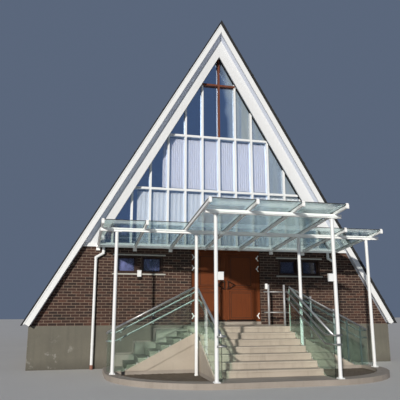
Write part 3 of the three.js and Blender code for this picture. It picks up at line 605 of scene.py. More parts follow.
# The look of each piece of the construction, by the start of its name; the longest start counts
CAD_LOOKS = {
    "plinth": PLINTH, "floor_slab": CONCRETE, "roof": SHINGLE, "ridge_cap": SHINGLE, "front": WHITE,
    "back": WHITE, "front_wall": MORTAR, "back_wall": MORTAR, "front_gable_frame": CLADDING,
    "back_gable_frame": CLADDING, "front_gable_glass": GABLE_GLASS, "back_gable_glass": GABLE_GLASS,
    "cross": CROSS, "window_pane": PANE_GLASS, "window_frames": CASING, "door": DOOR, "door_threshold": KERB,
    "canopy_frame": CANOPY_WHITE, "canopy_glass": SIDE_CANOPY_GLASS,
    "canopy_glass_middle": MIDDLE_CANOPY_GLASS, "post": WHITE, "kerb": KERB, "planter": KERB,
    "front_steps": CONCRETE, "side_flight": STRING_CONCRETE, "balustrade_glass": RAIL_GLASS,
    "balustrade_glass_right": DARK_RAIL_GLASS, "cap_rail": STEEL, "handrails": RAIL_STEEL,
    "landing_rail": RAIL_STEEL, "downpipe": WHITE, "wall_lamp": WHITE, "curtain": UPPER_CLOTH,
}


def dress_construction():
    for name, piece in nodes.items():
        start = max((key for key in CAD_LOOKS if name.startswith(key)), key=len)
        piece.data.materials.clear()
        piece.data.materials.append(CAD_LOOKS[start])


# Bricks
COURSES = 28
COURSE = (BRICK_TOP - FLOOR) / COURSES
JOINT = 0.010
BRICK_PITCH = 0.226
BRICK_PROUD = 0.0035
BRICK_BEDDED = 0.004
BRICK_CHAMFER = 0.0022
SMALLEST_CUT = 0.012
PANE_GAP = 0.004


def clipped(polygon, keep):
    """The part of a polygon where keep(point) is zero or more."""
    result = []
    for index, point in enumerate(polygon):
        before = polygon[index - 1]
        value, earlier = keep(point), keep(before)
        if value * earlier < 0:
            share = earlier / (earlier - value)
            result.append(tuple(a + (b - a) * share for a, b in zip(before, point)))
        if value >= 0:
            result.append(point)
    return result


def without(rectangles, hole):
    """Rectangles (x0, x1, z0, z1) with one rectangular hole taken out of them."""
    left, right, foot, head = hole
    result = []
    for x0, x1, z0, z1 in rectangles:
        if x1 <= left or x0 >= right or z1 <= foot or z0 >= head:
            result.append((x0, x1, z0, z1))
            continue
        middle = (max(x0, left), min(x1, right))
        parts = ((x0, left, z0, z1), (right, x1, z0, z1), (*middle, z0, foot), (*middle, head, z1))
        result += [part for part in parts if min(part[1] - part[0], part[3] - part[2]) > SMALLEST_CUT]
    return result


def course_heights(course):
    z = FLOOR + course * COURSE + JOINT / 2
    return z, z + COURSE - JOINT


def brick_face(shape, face, out, holes):
    """Bricks in stretcher bond over one gable wall; out is -1 towards the front and 1 towards the back."""
    for course in range(COURSES):
        x = -HALF_AT_FLOOR - BRICK_PITCH + (course % 2) * BRICK_PITCH / 2
        while x < HALF_AT_FLOOR:
            parts = [(x, x + BRICK_PITCH - JOINT, *course_heights(course))]
            for hole in holes:
                parts = without(parts, hole)
            for x0, x1, z0, z1 in parts:
                outline = rectangle((x0, x1), (z0, z1))
                for sign in (1, -1):
                    outline = clipped(outline, lambda p: at_height(SOFFIT_APEX, 1, p[1])[0] + sign * p[0])
                if len(outline) > 2:
                    add_brick(shape, outline, face, out)
            x += BRICK_PITCH


def add_brick(shape, outline, face, out):
    tone = min(1.0, max(0.0, draw.gauss(0.5, 0.22)))
    proud = BRICK_PROUD + draw.uniform(-0.0008, 0.0008)
    middle_x, middle_z = (sum(places) / len(outline) for places in zip(*outline))
    top = [(x - math.copysign(BRICK_CHAMFER, x - middle_x), face + out * proud,
            z - math.copysign(BRICK_CHAMFER, z - middle_z)) for x, z in outline]
    shape.loft([(x, face - out * BRICK_BEDDED, z) for x, z in outline], top, tone)


def lay_bricks():
    holes = [(*DOORWAY, 0, BRICK_TOP)]
    for side, _ in SIDES:
        for number in (1, 2):
            low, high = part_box(f"window_pane_{side}_{number}")
            holes.append((low.x - PANE_GAP, high.x + PANE_GAP, low.z - PANE_GAP, high.z + PANE_GAP))
    for (place, out), face, cut in zip(ENDS, (FRONT, BACK), (holes, [])):
        shape = Shape()
        brick_face(shape, face, out, cut)
        shape.make(f"{place}_bricks", BRICK)
    jambs = Shape()
    for x, out in zip(DOORWAY, (1, -1)):
        for course in range(COURSES):
            jambs.box((x + out * 0.0025, x - out * 0.006), (FRONT + 0.002, FRONT + 0.064),
                      course_heights(course), draw.uniform(0.2, 0.8))
    jambs.make("jamb_bricks", BRICK)


# Roof covering
SHINGLE_EXPOSURE = 0.145
SHINGLE_WIDTH = 0.333
SHINGLE_GAP = 0.005
LAP_EVERY = 11
LAP_THICK = 0.024
VERGE_OVER = 0.022
ROOF_START = FASCIA_FRONT - VERGE_OVER
ROOF_END = FASCIA_BACK + VERGE_OVER
SLIVER = 0.02
RIDGE_REACH = 0.17
RIDGE_EXPOSURE = 0.2
RIDGE_BEDDED = 0.008


def cover_roof():
    for side, sign in SIDES:
        shape = Shape()
        for course in range(1, int(SLOPE_LENGTH / SHINGLE_EXPOSURE) + 1):
            bottom = min(course * SHINGLE_EXPOSURE, SLOPE_LENGTH) - 0.001
            top = bottom - SHINGLE_EXPOSURE
            y = ROOF_START - (course % 3) * SHINGLE_WIDTH / 3
            while y < ROOF_END:
                ys = (max(y, ROOF_START), min(y + SHINGLE_WIDTH - SHINGLE_GAP, ROOF_END))
                if ys[1] - ys[0] > SLIVER:
                    thick = LAP_THICK if course % LAP_EVERY == 3 else draw.uniform(0.009, 0.014)
                    foot = bottom - draw.uniform(0, 0.004)
                    places = ((top, 0.0), (foot, 0.0), (foot, thick), (top, 0.0015))
                    shape.plank([on_slope(ROOF_APEX, sign, *place) for place in places], ys, draw.random())
                y += SHINGLE_WIDTH
        shape.make(f"roof_shingles_{side}", SHINGLE)


def cover_ridge():
    """Folded shingles over the ridge, each lapping the one behind it."""
    shape = Shape()
    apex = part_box("ridge_cap")[1].z
    y = ROOF_START
    while y < ROOF_END - SLIVER:
        end = min(y + RIDGE_EXPOSURE, ROOF_END)
        tone = draw.random()
        for _, sign in SIDES:
            ends = []
            for place, lift in ((y, 0.010), (end, 0.001)):
                outline = rectangle((0, sign * RIDGE_REACH), (apex + lift, apex - RIDGE_BEDDED))
                ends.append([(x, place, z - abs(x) * TAN) for x, z in outline])
            shape.loft(*ends, tone)
        y = end
    shape.make("ridge_shingles", SHINGLE)


# Width of the strip under the right verge board, measured level
UNDER_STRIP = 0.048


def trim_verges():
    """A dark metal edge over each verge board, white battens below it and a strip under the right board."""
    edge = Shape()
    batten = Shape()
    low = FLOOR + 0.02
    left_inner, right_inner = FASCIA_APEX - 0.014, FASCIA_APEX - 0.115
    meeting = ((right_inner - left_inner) / (2 * TAN), (right_inner + left_inner) / 2)
    left = band(-1, (left_inner, ROOF_APEX + 0.030), low)
    right = [meeting, (0, left_inner), *band(1, (right_inner, ROOF_APEX + 0.008), low)[1:]]
    for face, out in ((FASCIA_FRONT, -1), (FASCIA_BACK, 1)):
        for outline in (left, right):
            edge.plank(outline, (face + out * 0.012, face - out * 0.03))
        for _, sign in SIDES:
            batten.plank(band(sign, (FASCIA_APEX - 0.014, FASCIA_APEX - 0.075), FLOOR + 0.05),
                         (face + out * 0.008, face - out * 0.002))
        batten.plank(band(1, (SOFFIT_APEX + 0.004, SOFFIT_APEX - UNDER_STRIP * TAN), low),
                     (face + out * 0.002, face - out * 0.028))
    edge.make("verge_edges", RUBBER)
    batten.make("verge_battens", WHITE)


# How far the boards under the overhangs drop towards the wall, on the left and the right
SOFFIT_DROPS = {-1: 0.105, 1: 0.065}


def line_overhangs():
    """Boards under the overhangs, from the verge board's lower edge to the wall."""
    split = BRICK_TOP + 0.10
    top = SOFFIT_APEX - 0.001
    for (place, out), face in zip(ENDS, (FRONT, BACK)):
        shape = Shape()
        inner = face_of(f"{place}_fascia", -out) + 0.001
        for _, sign in SIDES:
            rows = ((SOFFIT_DROPS[sign], SOFFIT_APEX, split), (0.012, split - 0.001, FLOOR + 0.03))
            for drop, head, foot in rows:
                ends = []
                for fall, y in ((0.004, inner), (drop, face + out * 0.0006)):
                    under = SOFFIT_APEX - 0.004 - fall * 2
                    corners = ((top, head), (top, foot), (under, foot), (under, head))
                    outline = [at_height(apex, sign, min(z, apex)) for apex, z in corners]
                    ends.append([(x, y, z) for x, z in outline])
                shape.loft(*ends)
        shape.make(f"{place}_soffit_boards", SOFFIT)


# Level widths of the boards beside the glazing on the left and the right, and of the seals
GABLE_TRIM = {-1: 0.03, 1: 0.09}
BORDER_SEAL = 0.024


def trim_gables():
    """Flush boards round each glazed gable, and dark seals along its slanting edges."""
    boards = Shape()
    seals = Shape()
    half = sum(GABLE_TRIM.values()) / 2
    for place, out in ENDS:
        face = face_of(f"{place}_gable_frame", out)
        bar_face = face_of(f"{place}_glazing_bars", out)
        low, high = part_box(f"{place}_gable_glass")
        apex, foot = high.z + 0.0006, low.z
        seal_apex = apex - 0.002
        top = ((GABLE_TRIM[-1] - GABLE_TRIM[1]) / 2, apex - half * TAN)
        reach = (apex - foot) / TAN
        for _, sign in SIDES:
            boards.plank([(0, apex), top, (sign * (reach - GABLE_TRIM[sign]), foot), (sign * reach, foot)],
                         (face + out * 0.0015, face - out * 0.030))
            seals.plank([(0, seal_apex), (0, seal_apex - BORDER_SEAL * TAN),
                         (sign * (reach - BORDER_SEAL), foot), (sign * (reach - 0.001), foot)],
                        (bar_face + out * 0.0015, bar_face - out * 0.066))
    boards.make("gable_trim_boards", CLADDING)
    seals.make("gable_seals", RUBBER)


# Ceiling boards inside the roof slopes
BOARD = 0.12
BOARD_GAP = 0.005


def line_ceiling():
    reach = (SOFFIT_APEX - FLOOR) / (TAN / 2) - 0.02
    ys = (FRONT + WALL + 0.01, BACK - WALL - 0.01)
    for side, sign in SIDES:
        shape = Shape()
        along = 0.10
        while along < reach:
            places = rectangle((along, min(along + BOARD - BOARD_GAP, reach)), (0.001, -0.012))
            shape.plank([on_slope(SOFFIT_APEX, sign, *place) for place in places], ys, draw.random())
            along += BOARD
        shape.make(f"ceiling_boards_{side}", LINING)


# Rows of points down a curtain, points across a pleat, and points between two places of its phase
CURTAIN_ROWS = 14
PLEAT_POINTS = 10
PHASE_EVERY = 40


def hang_curtain(row, look, pleat, swing):
    """A row of pleated cloth behind the front gable's glass, and its rail."""
    low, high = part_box(f"curtain_{row}")
    depth = (low.y + high.y) / 2
    height = high.z - low.z - 0.008
    width = high.x - low.x - 0.012
    columns = int((high.x - low.x) / pleat * PLEAT_POINTS)
    phases = [draw.uniform(-0.6, 0.6) for _ in range(columns // PHASE_EVERY + 3)]
    points = []
    for line in range(CURTAIN_ROWS + 1):
        drop = line / CURTAIN_ROWS
        for column in range(columns + 1):
            x = low.x + 0.006 + width * (column / columns)
            place, share = divmod(column / PHASE_EVERY, 1)
            phase = phases[int(place)] * (1 - share) + phases[int(place) + 1] * share
            turn = 2 * math.pi * (x - low.x) / pleat + phase
            size = swing * (0.72 + 0.28 * drop) * (1 + 0.12 * math.sin(3.1 * x))
            y = depth + size * math.sin(turn + 0.25 * math.sin(5 * drop + x))
            points.append((x, y, high.z - 0.004 - height * drop))
    cloth = Shape()
    cloth.add(points, grid_faces(CURTAIN_ROWS, columns))
    piece = cloth.make(f"{row}_curtain_cloth", look, smooth=True, replaces=(f"curtain_{row}",),
                       closed=False)
    rail = Shape()
    rail.rod((low.x - 0.02, high.x + 0.02), depth, high.z + 0.012, 0.009, 12)
    rail.make(f"{row}_curtain_rail", STEEL, smooth=True)


def frame_windows():
    """Casings round the four small panes, and a grey strip over and under each pair."""
    strips = Shape()
    frames = Shape()
    for side, _ in SIDES:
        low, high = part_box(f"window_frames_{side}")
        for zs in ((high.z - 0.045, high.z - 0.008), (low.z + 0.008, low.z + 0.045)):
            strips.box((low.x, high.x), (low.y, FRONT - 0.0005), zs)
        for number in (1, 2):
            a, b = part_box(f"window_pane_{side}_{number}")
            for width, ys in ((0.045, (FRONT - 0.028, FRONT + 0.055)), (0.075, (FRONT + 0.050, a.y - 0.001))):
                frames.border((a.x, b.x), ys, (a.z, b.z), width)
    frames.make("window_casings", CASING, bevel=0.003,
                replaces=("window_frames_left", "window_frames_right"))
    strips.make("window_strips", TRIM, bevel=0.003)


# Door leaves; heights are counted from the floor
LEAF_EDGES = (0.003, 0.8977)
PANEL_MARGIN = 0.115
PANELS = ((0.150, 0.915), (1.060, 1.940))
MOULDING = 0.022
GROOVE_WIDTH = 0.013
PULL_REACH = (0.055, 0.265)
PULL_HALF = 0.110
PULL_HEIGHT = 1.105
PULL_OFF = 0.055
PULL_RADIUS = 0.0105
SEAM_HEIGHTS = (0.982, 0.996)
FOOT_STRIP = (0.095, 0.135)
HINGE_HEIGHTS = (0.240, 1.575, 1.880)
HINGE_REACH = (0.088, 0.044)
HINGE_ARM = 0.068


def dress_doors():
    face = LEAF_FACE
    for side, sign in SIDES:
        body = f"{side}_leaf"
        left, right = sorted(DOOR_X + sign * edge for edge in LEAF_EDGES)
        mould = Shape()
        seam = Shape()
        for z0, z1 in PANELS:
            for shape, gap, width, ys in ((mould, MOULDING / 2, MOULDING, (face - 0.020, face + 0.001)),
                                          (seam, 0.018, GROOVE_WIDTH, (face - 0.0015, face + 0.002)),
                                          (seam, -0.030, GROOVE_WIDTH, (face - 0.0135, face + 0.002))):
                xs = (left + PANEL_MARGIN - gap, right - PANEL_MARGIN + gap)
                shape.border(xs, ys, (FLOOR + z0 - gap, FLOOR + z1 + gap), width, width)
        mould.make(f"door_mouldings_{side}", DOOR, body, bevel=0.004)
        seam.box((left + 0.002, right - 0.002), (face - 0.0015, face + 0.002), over_floor(SEAM_HEIGHTS))
        seam.make(f"door_seam_{side}", GROOVE, body)
        foot = Shape()
        foot.box((left + 0.01, right - 0.01), (face - 0.004, face + 0.002), over_floor(FOOT_STRIP))
        foot.make(f"door_foot_strip_{side}", DARK_STEEL, body, bevel=0.001)
        pull = Shape()
        near, far = (DOOR_X + sign * reach for reach in PULL_REACH)
        y, z = face - PULL_OFF, FLOOR + PULL_HEIGHT
        corners = [(near, y, z - PULL_HALF), (near, y, z + PULL_HALF), (far, y, z)]
        pull.tube(rounded(corners + corners[:2], 0.018)[1:-1], PULL_RADIUS, 12, closed=True)
        for x, _, height in corners:
            pull.rod(x, (y - 0.006, face + 0.002), height, 0.0125, 14)
            pull.rod(x, (face - 0.004, face + 0.001), height, 0.022, 18)
        pull.make(f"door_pull_{side}", DARK_STEEL, body, smooth=True)
    fit_hinges()


def fit_hinges():
    """White fittings on the frame beside each leaf, and a header board over the door."""
    shape = Shape()
    for x, sign in zip(DOORWAY, (-1, 1)):
        near, far = (x - sign * reach for reach in HINGE_REACH)
        for height in HINGE_HEIGHTS:
            z = FLOOR + height
            shape.rod(near, (FRONT + 0.044, FRONT + 0.071), z, 0.026)
            for tip in about(z, HINGE_ARM):
                shape.tube([(near, FRONT + 0.058, z), (far, FRONT + 0.058, tip)], 0.0135, 8)
                shape.rod(far, (FRONT + 0.048, FRONT + 0.071), tip, 0.0155, 12)
    shape.make("hinge_plates", CANOPY_WHITE)
    header = Shape()
    header.box((DOORWAY[0] - 0.02, DOORWAY[1] + 0.02), (SILL_FACE - 0.008, SILL_FACE + 0.002),
               (BRICK_TOP - 0.004, BRICK_TOP + 0.060))
    header.make("door_header", DOOR, bevel=0.002)


# Canopy; depths are counted from the wall's face and rises from the axis of the rafters
CANOPY_X = -0.011
RAFTER_SPACING = 1.003
CANOPY_PITCH = 0.103
RAFTER_HALF = 0.035
CANOPY_GLASS = 0.017
CAP_START = -0.125
RAFTERS = 8
# First and last rafter of each area of glass, and where those rafters end
CANOPY_AREAS = ((0, 2, -2.645), (2, 5, -4.555), (5, 7, -2.645))


def rafter_x(index):
    return CANOPY_X + (index - (RAFTERS - 1) / 2) * RAFTER_SPACING


def rafter_z(y):
    return BRICK_TOP - y * CANOPY_PITCH


def rafter_strip(shape, xs, ys, rises):
    """A strip along the canopy's slope."""
    shape.loft(*([(x, FRONT + y, rafter_z(y) + rise) for x, rise in rectangle(xs, rises)] for y in ys))


def dress_canopy():
    """Seals, caps and end bolts of the rafters, and seals along the lower edges of the glass."""
    seals = Shape()
    caps = Shape()
    bolts = Shape()
    over = RAFTER_HALF + CANOPY_GLASS
    for index in range(RAFTERS):
        end = min(end for first, last, end in CANOPY_AREAS if first <= index <= last)
        x = rafter_x(index)
        rafter_strip(seals, about(x, 0.034), (end + 0.004, CAP_START),
                     (RAFTER_HALF - 0.007, RAFTER_HALF - 0.001))
        rafter_strip(caps, about(x, 0.026), (end + 0.002, CAP_START), (over + 0.0012, over + 0.014))
        face = FRONT + end - 0.012
        for bolt_x in about(x, 0.018):
            for z in about(rafter_z(end), 0.034):
                bolts.rod(bolt_x, (face - 0.005, face + 0.002), z, 0.006, 6)
    for first, last, end in CANOPY_AREAS:
        rafter_strip(seals, (rafter_x(first) + 0.03, rafter_x(last) - 0.03), (end - 0.004, end + 0.003),
                     (RAFTER_HALF + 0.001, RAFTER_HALF + 0.016))
    seals.make("canopy_seals", RUBBER)
    caps.make("canopy_caps", CANOPY_WHITE, bevel=0.002)
    bolts.make("canopy_bolts", STEEL)


# Posts: the middle between them, how far each kind stands from it, and the reach of the foot bolts
POST_X = 0.082
POST_REACH = {"outer": 3.250, "inner": 1.333, "front": 1.333}
POST_BOLTS = {"outer": 0.050, "inner": 0.034, "front": 0.050}


def dress_posts():
    """Head plates under the canopy, and a collar with four bolts at each foot."""
    plates = Shape()
    collars = Shape()
    for kind, reach in POST_REACH.items():
        for side, sign in SIDES:
            low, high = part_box(f"post_{kind}_{side}")
            x, y = POST_X + sign * reach, (low.y + high.y) / 2
            plates.box(about(x, 0.11), about(y, 0.05), (high.z - 0.012, high.z - 0.0005))
            collars.rod(x, y, (low.z + 0.013, low.z + 0.045), 0.046, 24)
            for bolt_x in about(x, POST_BOLTS[kind]):
                for bolt_y in about(y, POST_BOLTS[kind]):
                    collars.rod(bolt_x, bolt_y, (low.z + 0.012, low.z + 0.024), 0.008, 6)
    plates.make("post_heads", WHITE, bevel=0.003)
    collars.make("post_foot_bolts", WHITE)


# Treads: how far they rise, how far they stand over the riser, and their thickness
TREAD_LIFT = 0.003
NOSING = 0.014
TREAD_THICK = 0.042


def dress_steps():
    treads = Shape()
    for step in range(STEPS):
        top = FLOOR - step * RISER
        nosing = FRONT + LANDING - step * TREAD
        back = nosing + TREAD - NOSING - 0.001 if step else FRONT - 0.002
        treads.box(about(ENTRANCE_X, STAIR_HALF - 0.001), (nosing - NOSING, back),
                   (top - TREAD_THICK, top + TREAD_LIFT), draw.random())
    treads.make("front_treads", CONCRETE, bevel=0.005)
    ys = (FRONT + LANDING + 0.061, FRONT + FLIGHT_BACK - 0.001)
    for side, sign in SIDES:
        treads = Shape()
        risers = Shape()
        for step in range(1, STEPS):
            top = FLOOR - step * RISER
            under = top - TREAD_THICK
            edge = STAIR_HALF + step * SIDE_TREAD
            near = edge - SIDE_TREAD + (NOSING if step > 1 else 0.002)
            treads.box(sideways(sign, near, edge + NOSING), ys, (under, top + TREAD_LIFT), draw.random())
            risers.box(sideways(sign, edge - 0.002, edge + 0.004), ys, (top - RISER + 0.004, under + 0.002))
        # The side flights' treads and risers take the darker concrete of painted shade
        treads.make(f"side_treads_{side}", SIDE_CONCRETE_PAINTED_SHADE, bevel=0.005)
        risers.make(f"side_risers_{side}", SIDE_CONCRETE_PAINTED_SHADE)


# Soil in the stepped planting boxes, and in the two beds of the kerb inside their curved rims
PLANTER_ENDS = (0, 0.835, 1.375, 1.920)
PLANTER_DROPS = (0.070, 0.400, 0.700)
PLANTER_WALL = 0.062
SOIL_MESH = 0.05
KERB_HALF = 3.42
ROUND_START = 1.10
KERB_ROUND = -1.9
KERB_FRONT = -4.09
BED_BACK = -1.6525
BED_EDGE = (0.262, 0.332)
BED_TOP = 0.033
BED_COLUMNS = 44
BED_LINES = 40


def soil_patch(shape, xs, ys, z):
    """An uneven bed of soil with skirts down its sides."""
    columns, lines = (max(4, int((high - low) / SOIL_MESH)) for low, high in (xs, ys))
    points = []
    for line in range(lines + 1):
        for column in range(columns + 1):
            edge = line in (0, lines) or column in (0, columns)
            rise = 0 if edge else draw.uniform(-0.012, 0.012)
            points.append((xs[0] + (xs[1] - xs[0]) * column / columns,
                           ys[0] + (ys[1] - ys[0]) * line / lines, z + rise))
    faces = grid_faces(lines, columns)
    last = lines * (columns + 1)
    rim = [*range(columns), *range(columns, last + columns, columns + 1),
           *range(last + columns, last, -1), *range(last, 0, -columns - 1)]
    start = len(points)
    points += [(*points[index][:2], z - 0.03) for index in rim]
    for place, index in enumerate(rim):
        after = (place + 1) % len(rim)
        faces.append([index, rim[after], start + after, start + place])
    faces.append([start + place for place in range(len(rim))])
    shape.add(points, faces)


def fill_planters():
    shape = Shape()
    ys = (FRONT + FLIGHT_BACK + PLANTER_WALL, FRONT - PLANTER_WALL)
    for _, sign in SIDES:
        for drop, near, far in zip(PLANTER_DROPS, PLANTER_ENDS, PLANTER_ENDS[1:]):
            xs = sideways(sign, STAIR_HALF + near + PLANTER_WALL, STAIR_HALF + far - PLANTER_WALL)
            soil_patch(shape, xs, ys, FLOOR - drop - 0.035)
    shape.make("planter_soil", SOIL)


def fill_beds():
    shape = Shape()
    inner = STAIR_HALF + STRING + 0.0025
    radius_x = KERB_HALF - ROUND_START - BED_EDGE[0]
    radius_y = KERB_ROUND - KERB_FRONT - BED_EDGE[1]
    for _, sign in SIDES:
        points = []
        for column in range(BED_COLUMNS + 1):
            u = inner + (ROUND_START + radius_x - inner) * (1 - (1 - column / BED_COLUMNS) ** 1.6)
            past = max(0.0, u - ROUND_START) / radius_x
            front = KERB_ROUND - radius_y * math.sqrt(max(0.0, 1 - past * past))
            for line in range(BED_LINES + 1):
                edge = line in (0, BED_LINES) or column in (0, BED_COLUMNS)
                rise = 0 if edge else draw.uniform(-0.005, 0.014)
                y = front + (BED_BACK - front) * line / BED_LINES
                points.append(entrance(sign, u, y, BED_TOP + rise))
        faces = grid_faces(BED_COLUMNS, BED_LINES)
        shape.add(points, faces if sign > 0 else [face[::-1] for face in faces])
    piece = shape.make("bed_soil_fill", SOIL, closed=False)
    thick = piece.modifiers.new("depth", "SOLIDIFY")
    thick.thickness = 0.015
    thick.offset = -1


# Handrails, and the balustrades' glass with its cap rails
RAIL_LEVELS = (0.889, 0.702)
RAIL_RADIUS = 0.0195
RAIL_INSET = 0.055
SIDE_END = 3.4
SIDE_LEVEL = 3.185
FRONT_LEVEL = -3.65
FRONT_END = -4.055
ACROSS_END = 1.36
BRACKET_SHARES = (0.1, 0.56, 0.94)
BRACKET_DROP = 0.035
PANE = 0.012
GLASS_TOP = 0.947
GLASS_SIDE_END = 3.37
GLASS_FRONT_END = -3.93
CAP_RISE = 0.029
CAP_RADIUS = 0.0245
STRING_TOP = FLOOR - 0.109
SLOPE_START = LANDING - 0.0253


def run_rails():
    """Two handrails inside each balustrade on brackets, and the cap rail on its glass."""
    y0 = LANDING + RAIL_INSET
    u0 = STAIR_HALF - RAIL_INSET
    for side, sign in SIDES:
        rails = Shape()
        for level in RAIL_LEVELS:
            top = FLOOR + level
            side_z = top - (SIDE_LEVEL - u0) * SIDE_FALL
            front_z = top - (y0 - FRONT_LEVEL) * FRONT_FALL
            path = ((SIDE_END, y0, side_z), (SIDE_LEVEL, y0, side_z), (u0, y0, top),
                    (u0, FRONT_LEVEL, front_z), (u0, FRONT_END, front_z), (ACROSS_END, FRONT_END, front_z))
            rails.tube(rounded([entrance(sign, *place) for place in path], 0.05), RAIL_RADIUS, 14)
            for share in BRACKET_SHARES:
                u = u0 + (SIDE_LEVEL - u0) * share
                z = top + (side_z - top) * share
                add_bracket(rails, sign, (u, y0, z), (u, LANDING + PANE + 0.0005, z - BRACKET_DROP))
                y = y0 + (FRONT_LEVEL - y0) * share
                z = top + (front_z - top) * share
                add_bracket(rails, sign, (u0, y, z), (STAIR_HALF - 0.0005, y, z - BRACKET_DROP))
        rails.make(f"handrail_tubes_{side}", RAIL_STEEL, smooth=True,
                   replaces=(f"handrails_{side}",))
        cap = Shape()
        u, y, z = STAIR_HALF + PANE / 2, LANDING + PANE / 2, FLOOR + GLASS_TOP + CAP_RISE
        path = ((GLASS_SIDE_END, y, z - (GLASS_SIDE_END - STAIR_HALF) * SIDE_FALL), (u, y, z),
                (u, SLOPE_START, z), (u, GLASS_FRONT_END, z - (SLOPE_START - GLASS_FRONT_END) * FRONT_FALL))
        cap.tube(rounded([entrance(sign, *place) for place in path], 0.03), CAP_RADIUS, 14)
        cap.make(f"cap_tubes_{side}", STEEL, smooth=True, replaces=(f"cap_rail_{side}",))


def add_bracket(shape, sign, rail, glass):
    """A bent arm from under a rail to a round plate on the glass."""
    rail, glass = entrance(sign, *rail), entrance(sign, *glass)
    under = rail - Vector((0, 0, BRACKET_DROP))
    shape.tube(rounded([rail, under, glass], 0.02), 0.0075, 10)
    shape.tube([glass - (glass - under).normalized() * 0.006, glass], 0.022, 18)


# The level rail on the landing: where it bends down, how steeply, and its posts with their feet's drop
LANDING_RAIL_Y = FRONT - 0.52
RAIL_BEND = 1.81
RAIL_SLOPE = 0.5
RAIL_ENDS = (1.05, 3.23)
RAIL_POSTS = ((1.19, 0), (1.655, 0.070), (2.45, 0.400), (3.15, 0.700))
RAIL_POST_TOP = 1.100
RAIL_HEIGHTS = (0.339, 0.898)
RAIL_CAP = ((1.095, 1.160), (0.975, 1.125))


def run_landing_rail():
    y = LANDING_RAIL_Y
    start, end = RAIL_ENDS
    tubes = Shape()
    for z in over_floor(RAIL_HEIGHTS):
        path = [(start, y, z), (RAIL_BEND, y, z), (end, y, z - (end - RAIL_BEND) * RAIL_SLOPE)]
        tubes.tube(rounded(path, 0.12), 0.0172, 14)
    tubes.make("landing_rail_tubes", RAIL_STEEL, smooth=True, replaces=("landing_rail",))
    posts = Shape()
    for x, drop in RAIL_POSTS:
        foot = FLOOR - drop
        top = FLOOR + RAIL_POST_TOP - max(0, x - RAIL_BEND) * RAIL_SLOPE
        posts.rod(x, y, (foot + 0.0005, top), 0.0285, 18)
        posts.rod(x, y, (foot + 0.0005, foot + 0.012), 0.0295, 20)
    cap = Shape()
    cap.box(RAIL_CAP[0], about(y, 0.026), over_floor(RAIL_CAP[1]))
    cap.make("landing_rail_cap", CANOPY_WHITE, bevel=0.006)
    posts.make("landing_rail_posts", POST_STEEL, smooth=True, replaces=("landing_rail",))


# Clamps of the glass: how many a side, how far the first ones are from the corner, and where panes meet
CLAMPS = 7
FIRST_CLAMPS = (0.14, 0.16)
CLAMP_SPACING = 0.26
CLAMP_HALF = 0.014
CLAMP_FOOT = 0.012
CLAMP_HEAD = 0.034
GLASS_JOINTS = (2.82, 3.19)


def fit_glass_clamps():
    """Clamps along the foot of the glass, a pale strip at each corner, and posts where two panes meet."""
    clamps = Shape()
    strips = Shape()
    joints = Shape()
    for _, sign in SIDES:
        for number in range(CLAMPS):
            u = STAIR_HALF + FIRST_CLAMPS[0] + number * CLAMP_SPACING
            z = STRING_TOP - (u - STAIR_HALF) * SIDE_FALL
            clamps.box(sideways(sign, *about(u, CLAMP_HALF)),
                       (FRONT + LANDING - 0.006, FRONT + LANDING + 0.019), (z - CLAMP_FOOT, z + CLAMP_HEAD))
            y = LANDING - FIRST_CLAMPS[1] - number * CLAMP_SPACING
            z = STRING_TOP - (SLOPE_START - y) * FRONT_FALL
            clamps.box(sideways(sign, STAIR_HALF - 0.004, STAIR_HALF + 0.018), about(FRONT + y, CLAMP_HALF),
                       (z - CLAMP_FOOT, z + CLAMP_HEAD))
        corner = entrance(sign, STAIR_HALF + 0.0065, LANDING + 0.0055, 0)
        strips.box(about(corner.x, 0.011), about(corner.y, 0.011),
                   (STRING_TOP + 0.004, FLOOR + GLASS_TOP - 0.004))
    for u in GLASS_JOINTS:
        fall = (u - STAIR_HALF) * SIDE_FALL
        joints.box(about(ENTRANCE_X + u, 0.017), (FRONT + LANDING - 0.012, FRONT + LANDING + 0.026),
                   (max(STRING_TOP - fall, KERB_TOP), FLOOR + GLASS_TOP - fall))
    joints.make("glass_joint_posts", JOINT_POST, bevel=0.003)
    clamps.make("glass_clamps", STEEL, bevel=0.002)
    strips.make("glass_corner_strips", GLASS_EDGE, bevel=0.003)


# Downpipes: the axes of the lower and the upper pipe on each side, the clips' heights and the elbow's
DOWNPIPES = ((-3.571, -3.375), (3.500, 3.290))
PIPE_Y = FRONT - 0.08
PIPE_CLIPS = (0.62, 1.75, 2.78)
ELBOW = 2.915
CLIP_RADIUS = 0.0425


def fit_downpipes():
    clips = Shape()
    shoes = Shape()
    for x, inner in DOWNPIPES:
        for z in PIPE_CLIPS:
            clips.rod(x, PIPE_Y, (z, z + 0.028), CLIP_RADIUS, 24)
            clips.box(about(x, 0.012), (PIPE_Y, FRONT - 0.0005), (z + 0.006, z + 0.022))
        clips.rod(x, PIPE_Y, (ELBOW - 0.06, ELBOW - 0.01), CLIP_RADIUS, 24)
        clips.rod(inner, PIPE_Y, (ELBOW + 0.13, ELBOW + 0.17), CLIP_RADIUS, 24)
        shoes.rod(x, PIPE_Y, (0.002, 0.11), 0.0435, 24)
    clips.make("downpipe_clips", WHITE)
    shoes.make("downpipe_shoes", PIPE_SHOE)


SILL_LAMPS = ((0.09, 3.215), (-0.69, 3.275))
SILL_LAMP_OFF = 0.075
POST_LAMP_Z = 2.113
POST_LAMP_OFF = 0.112


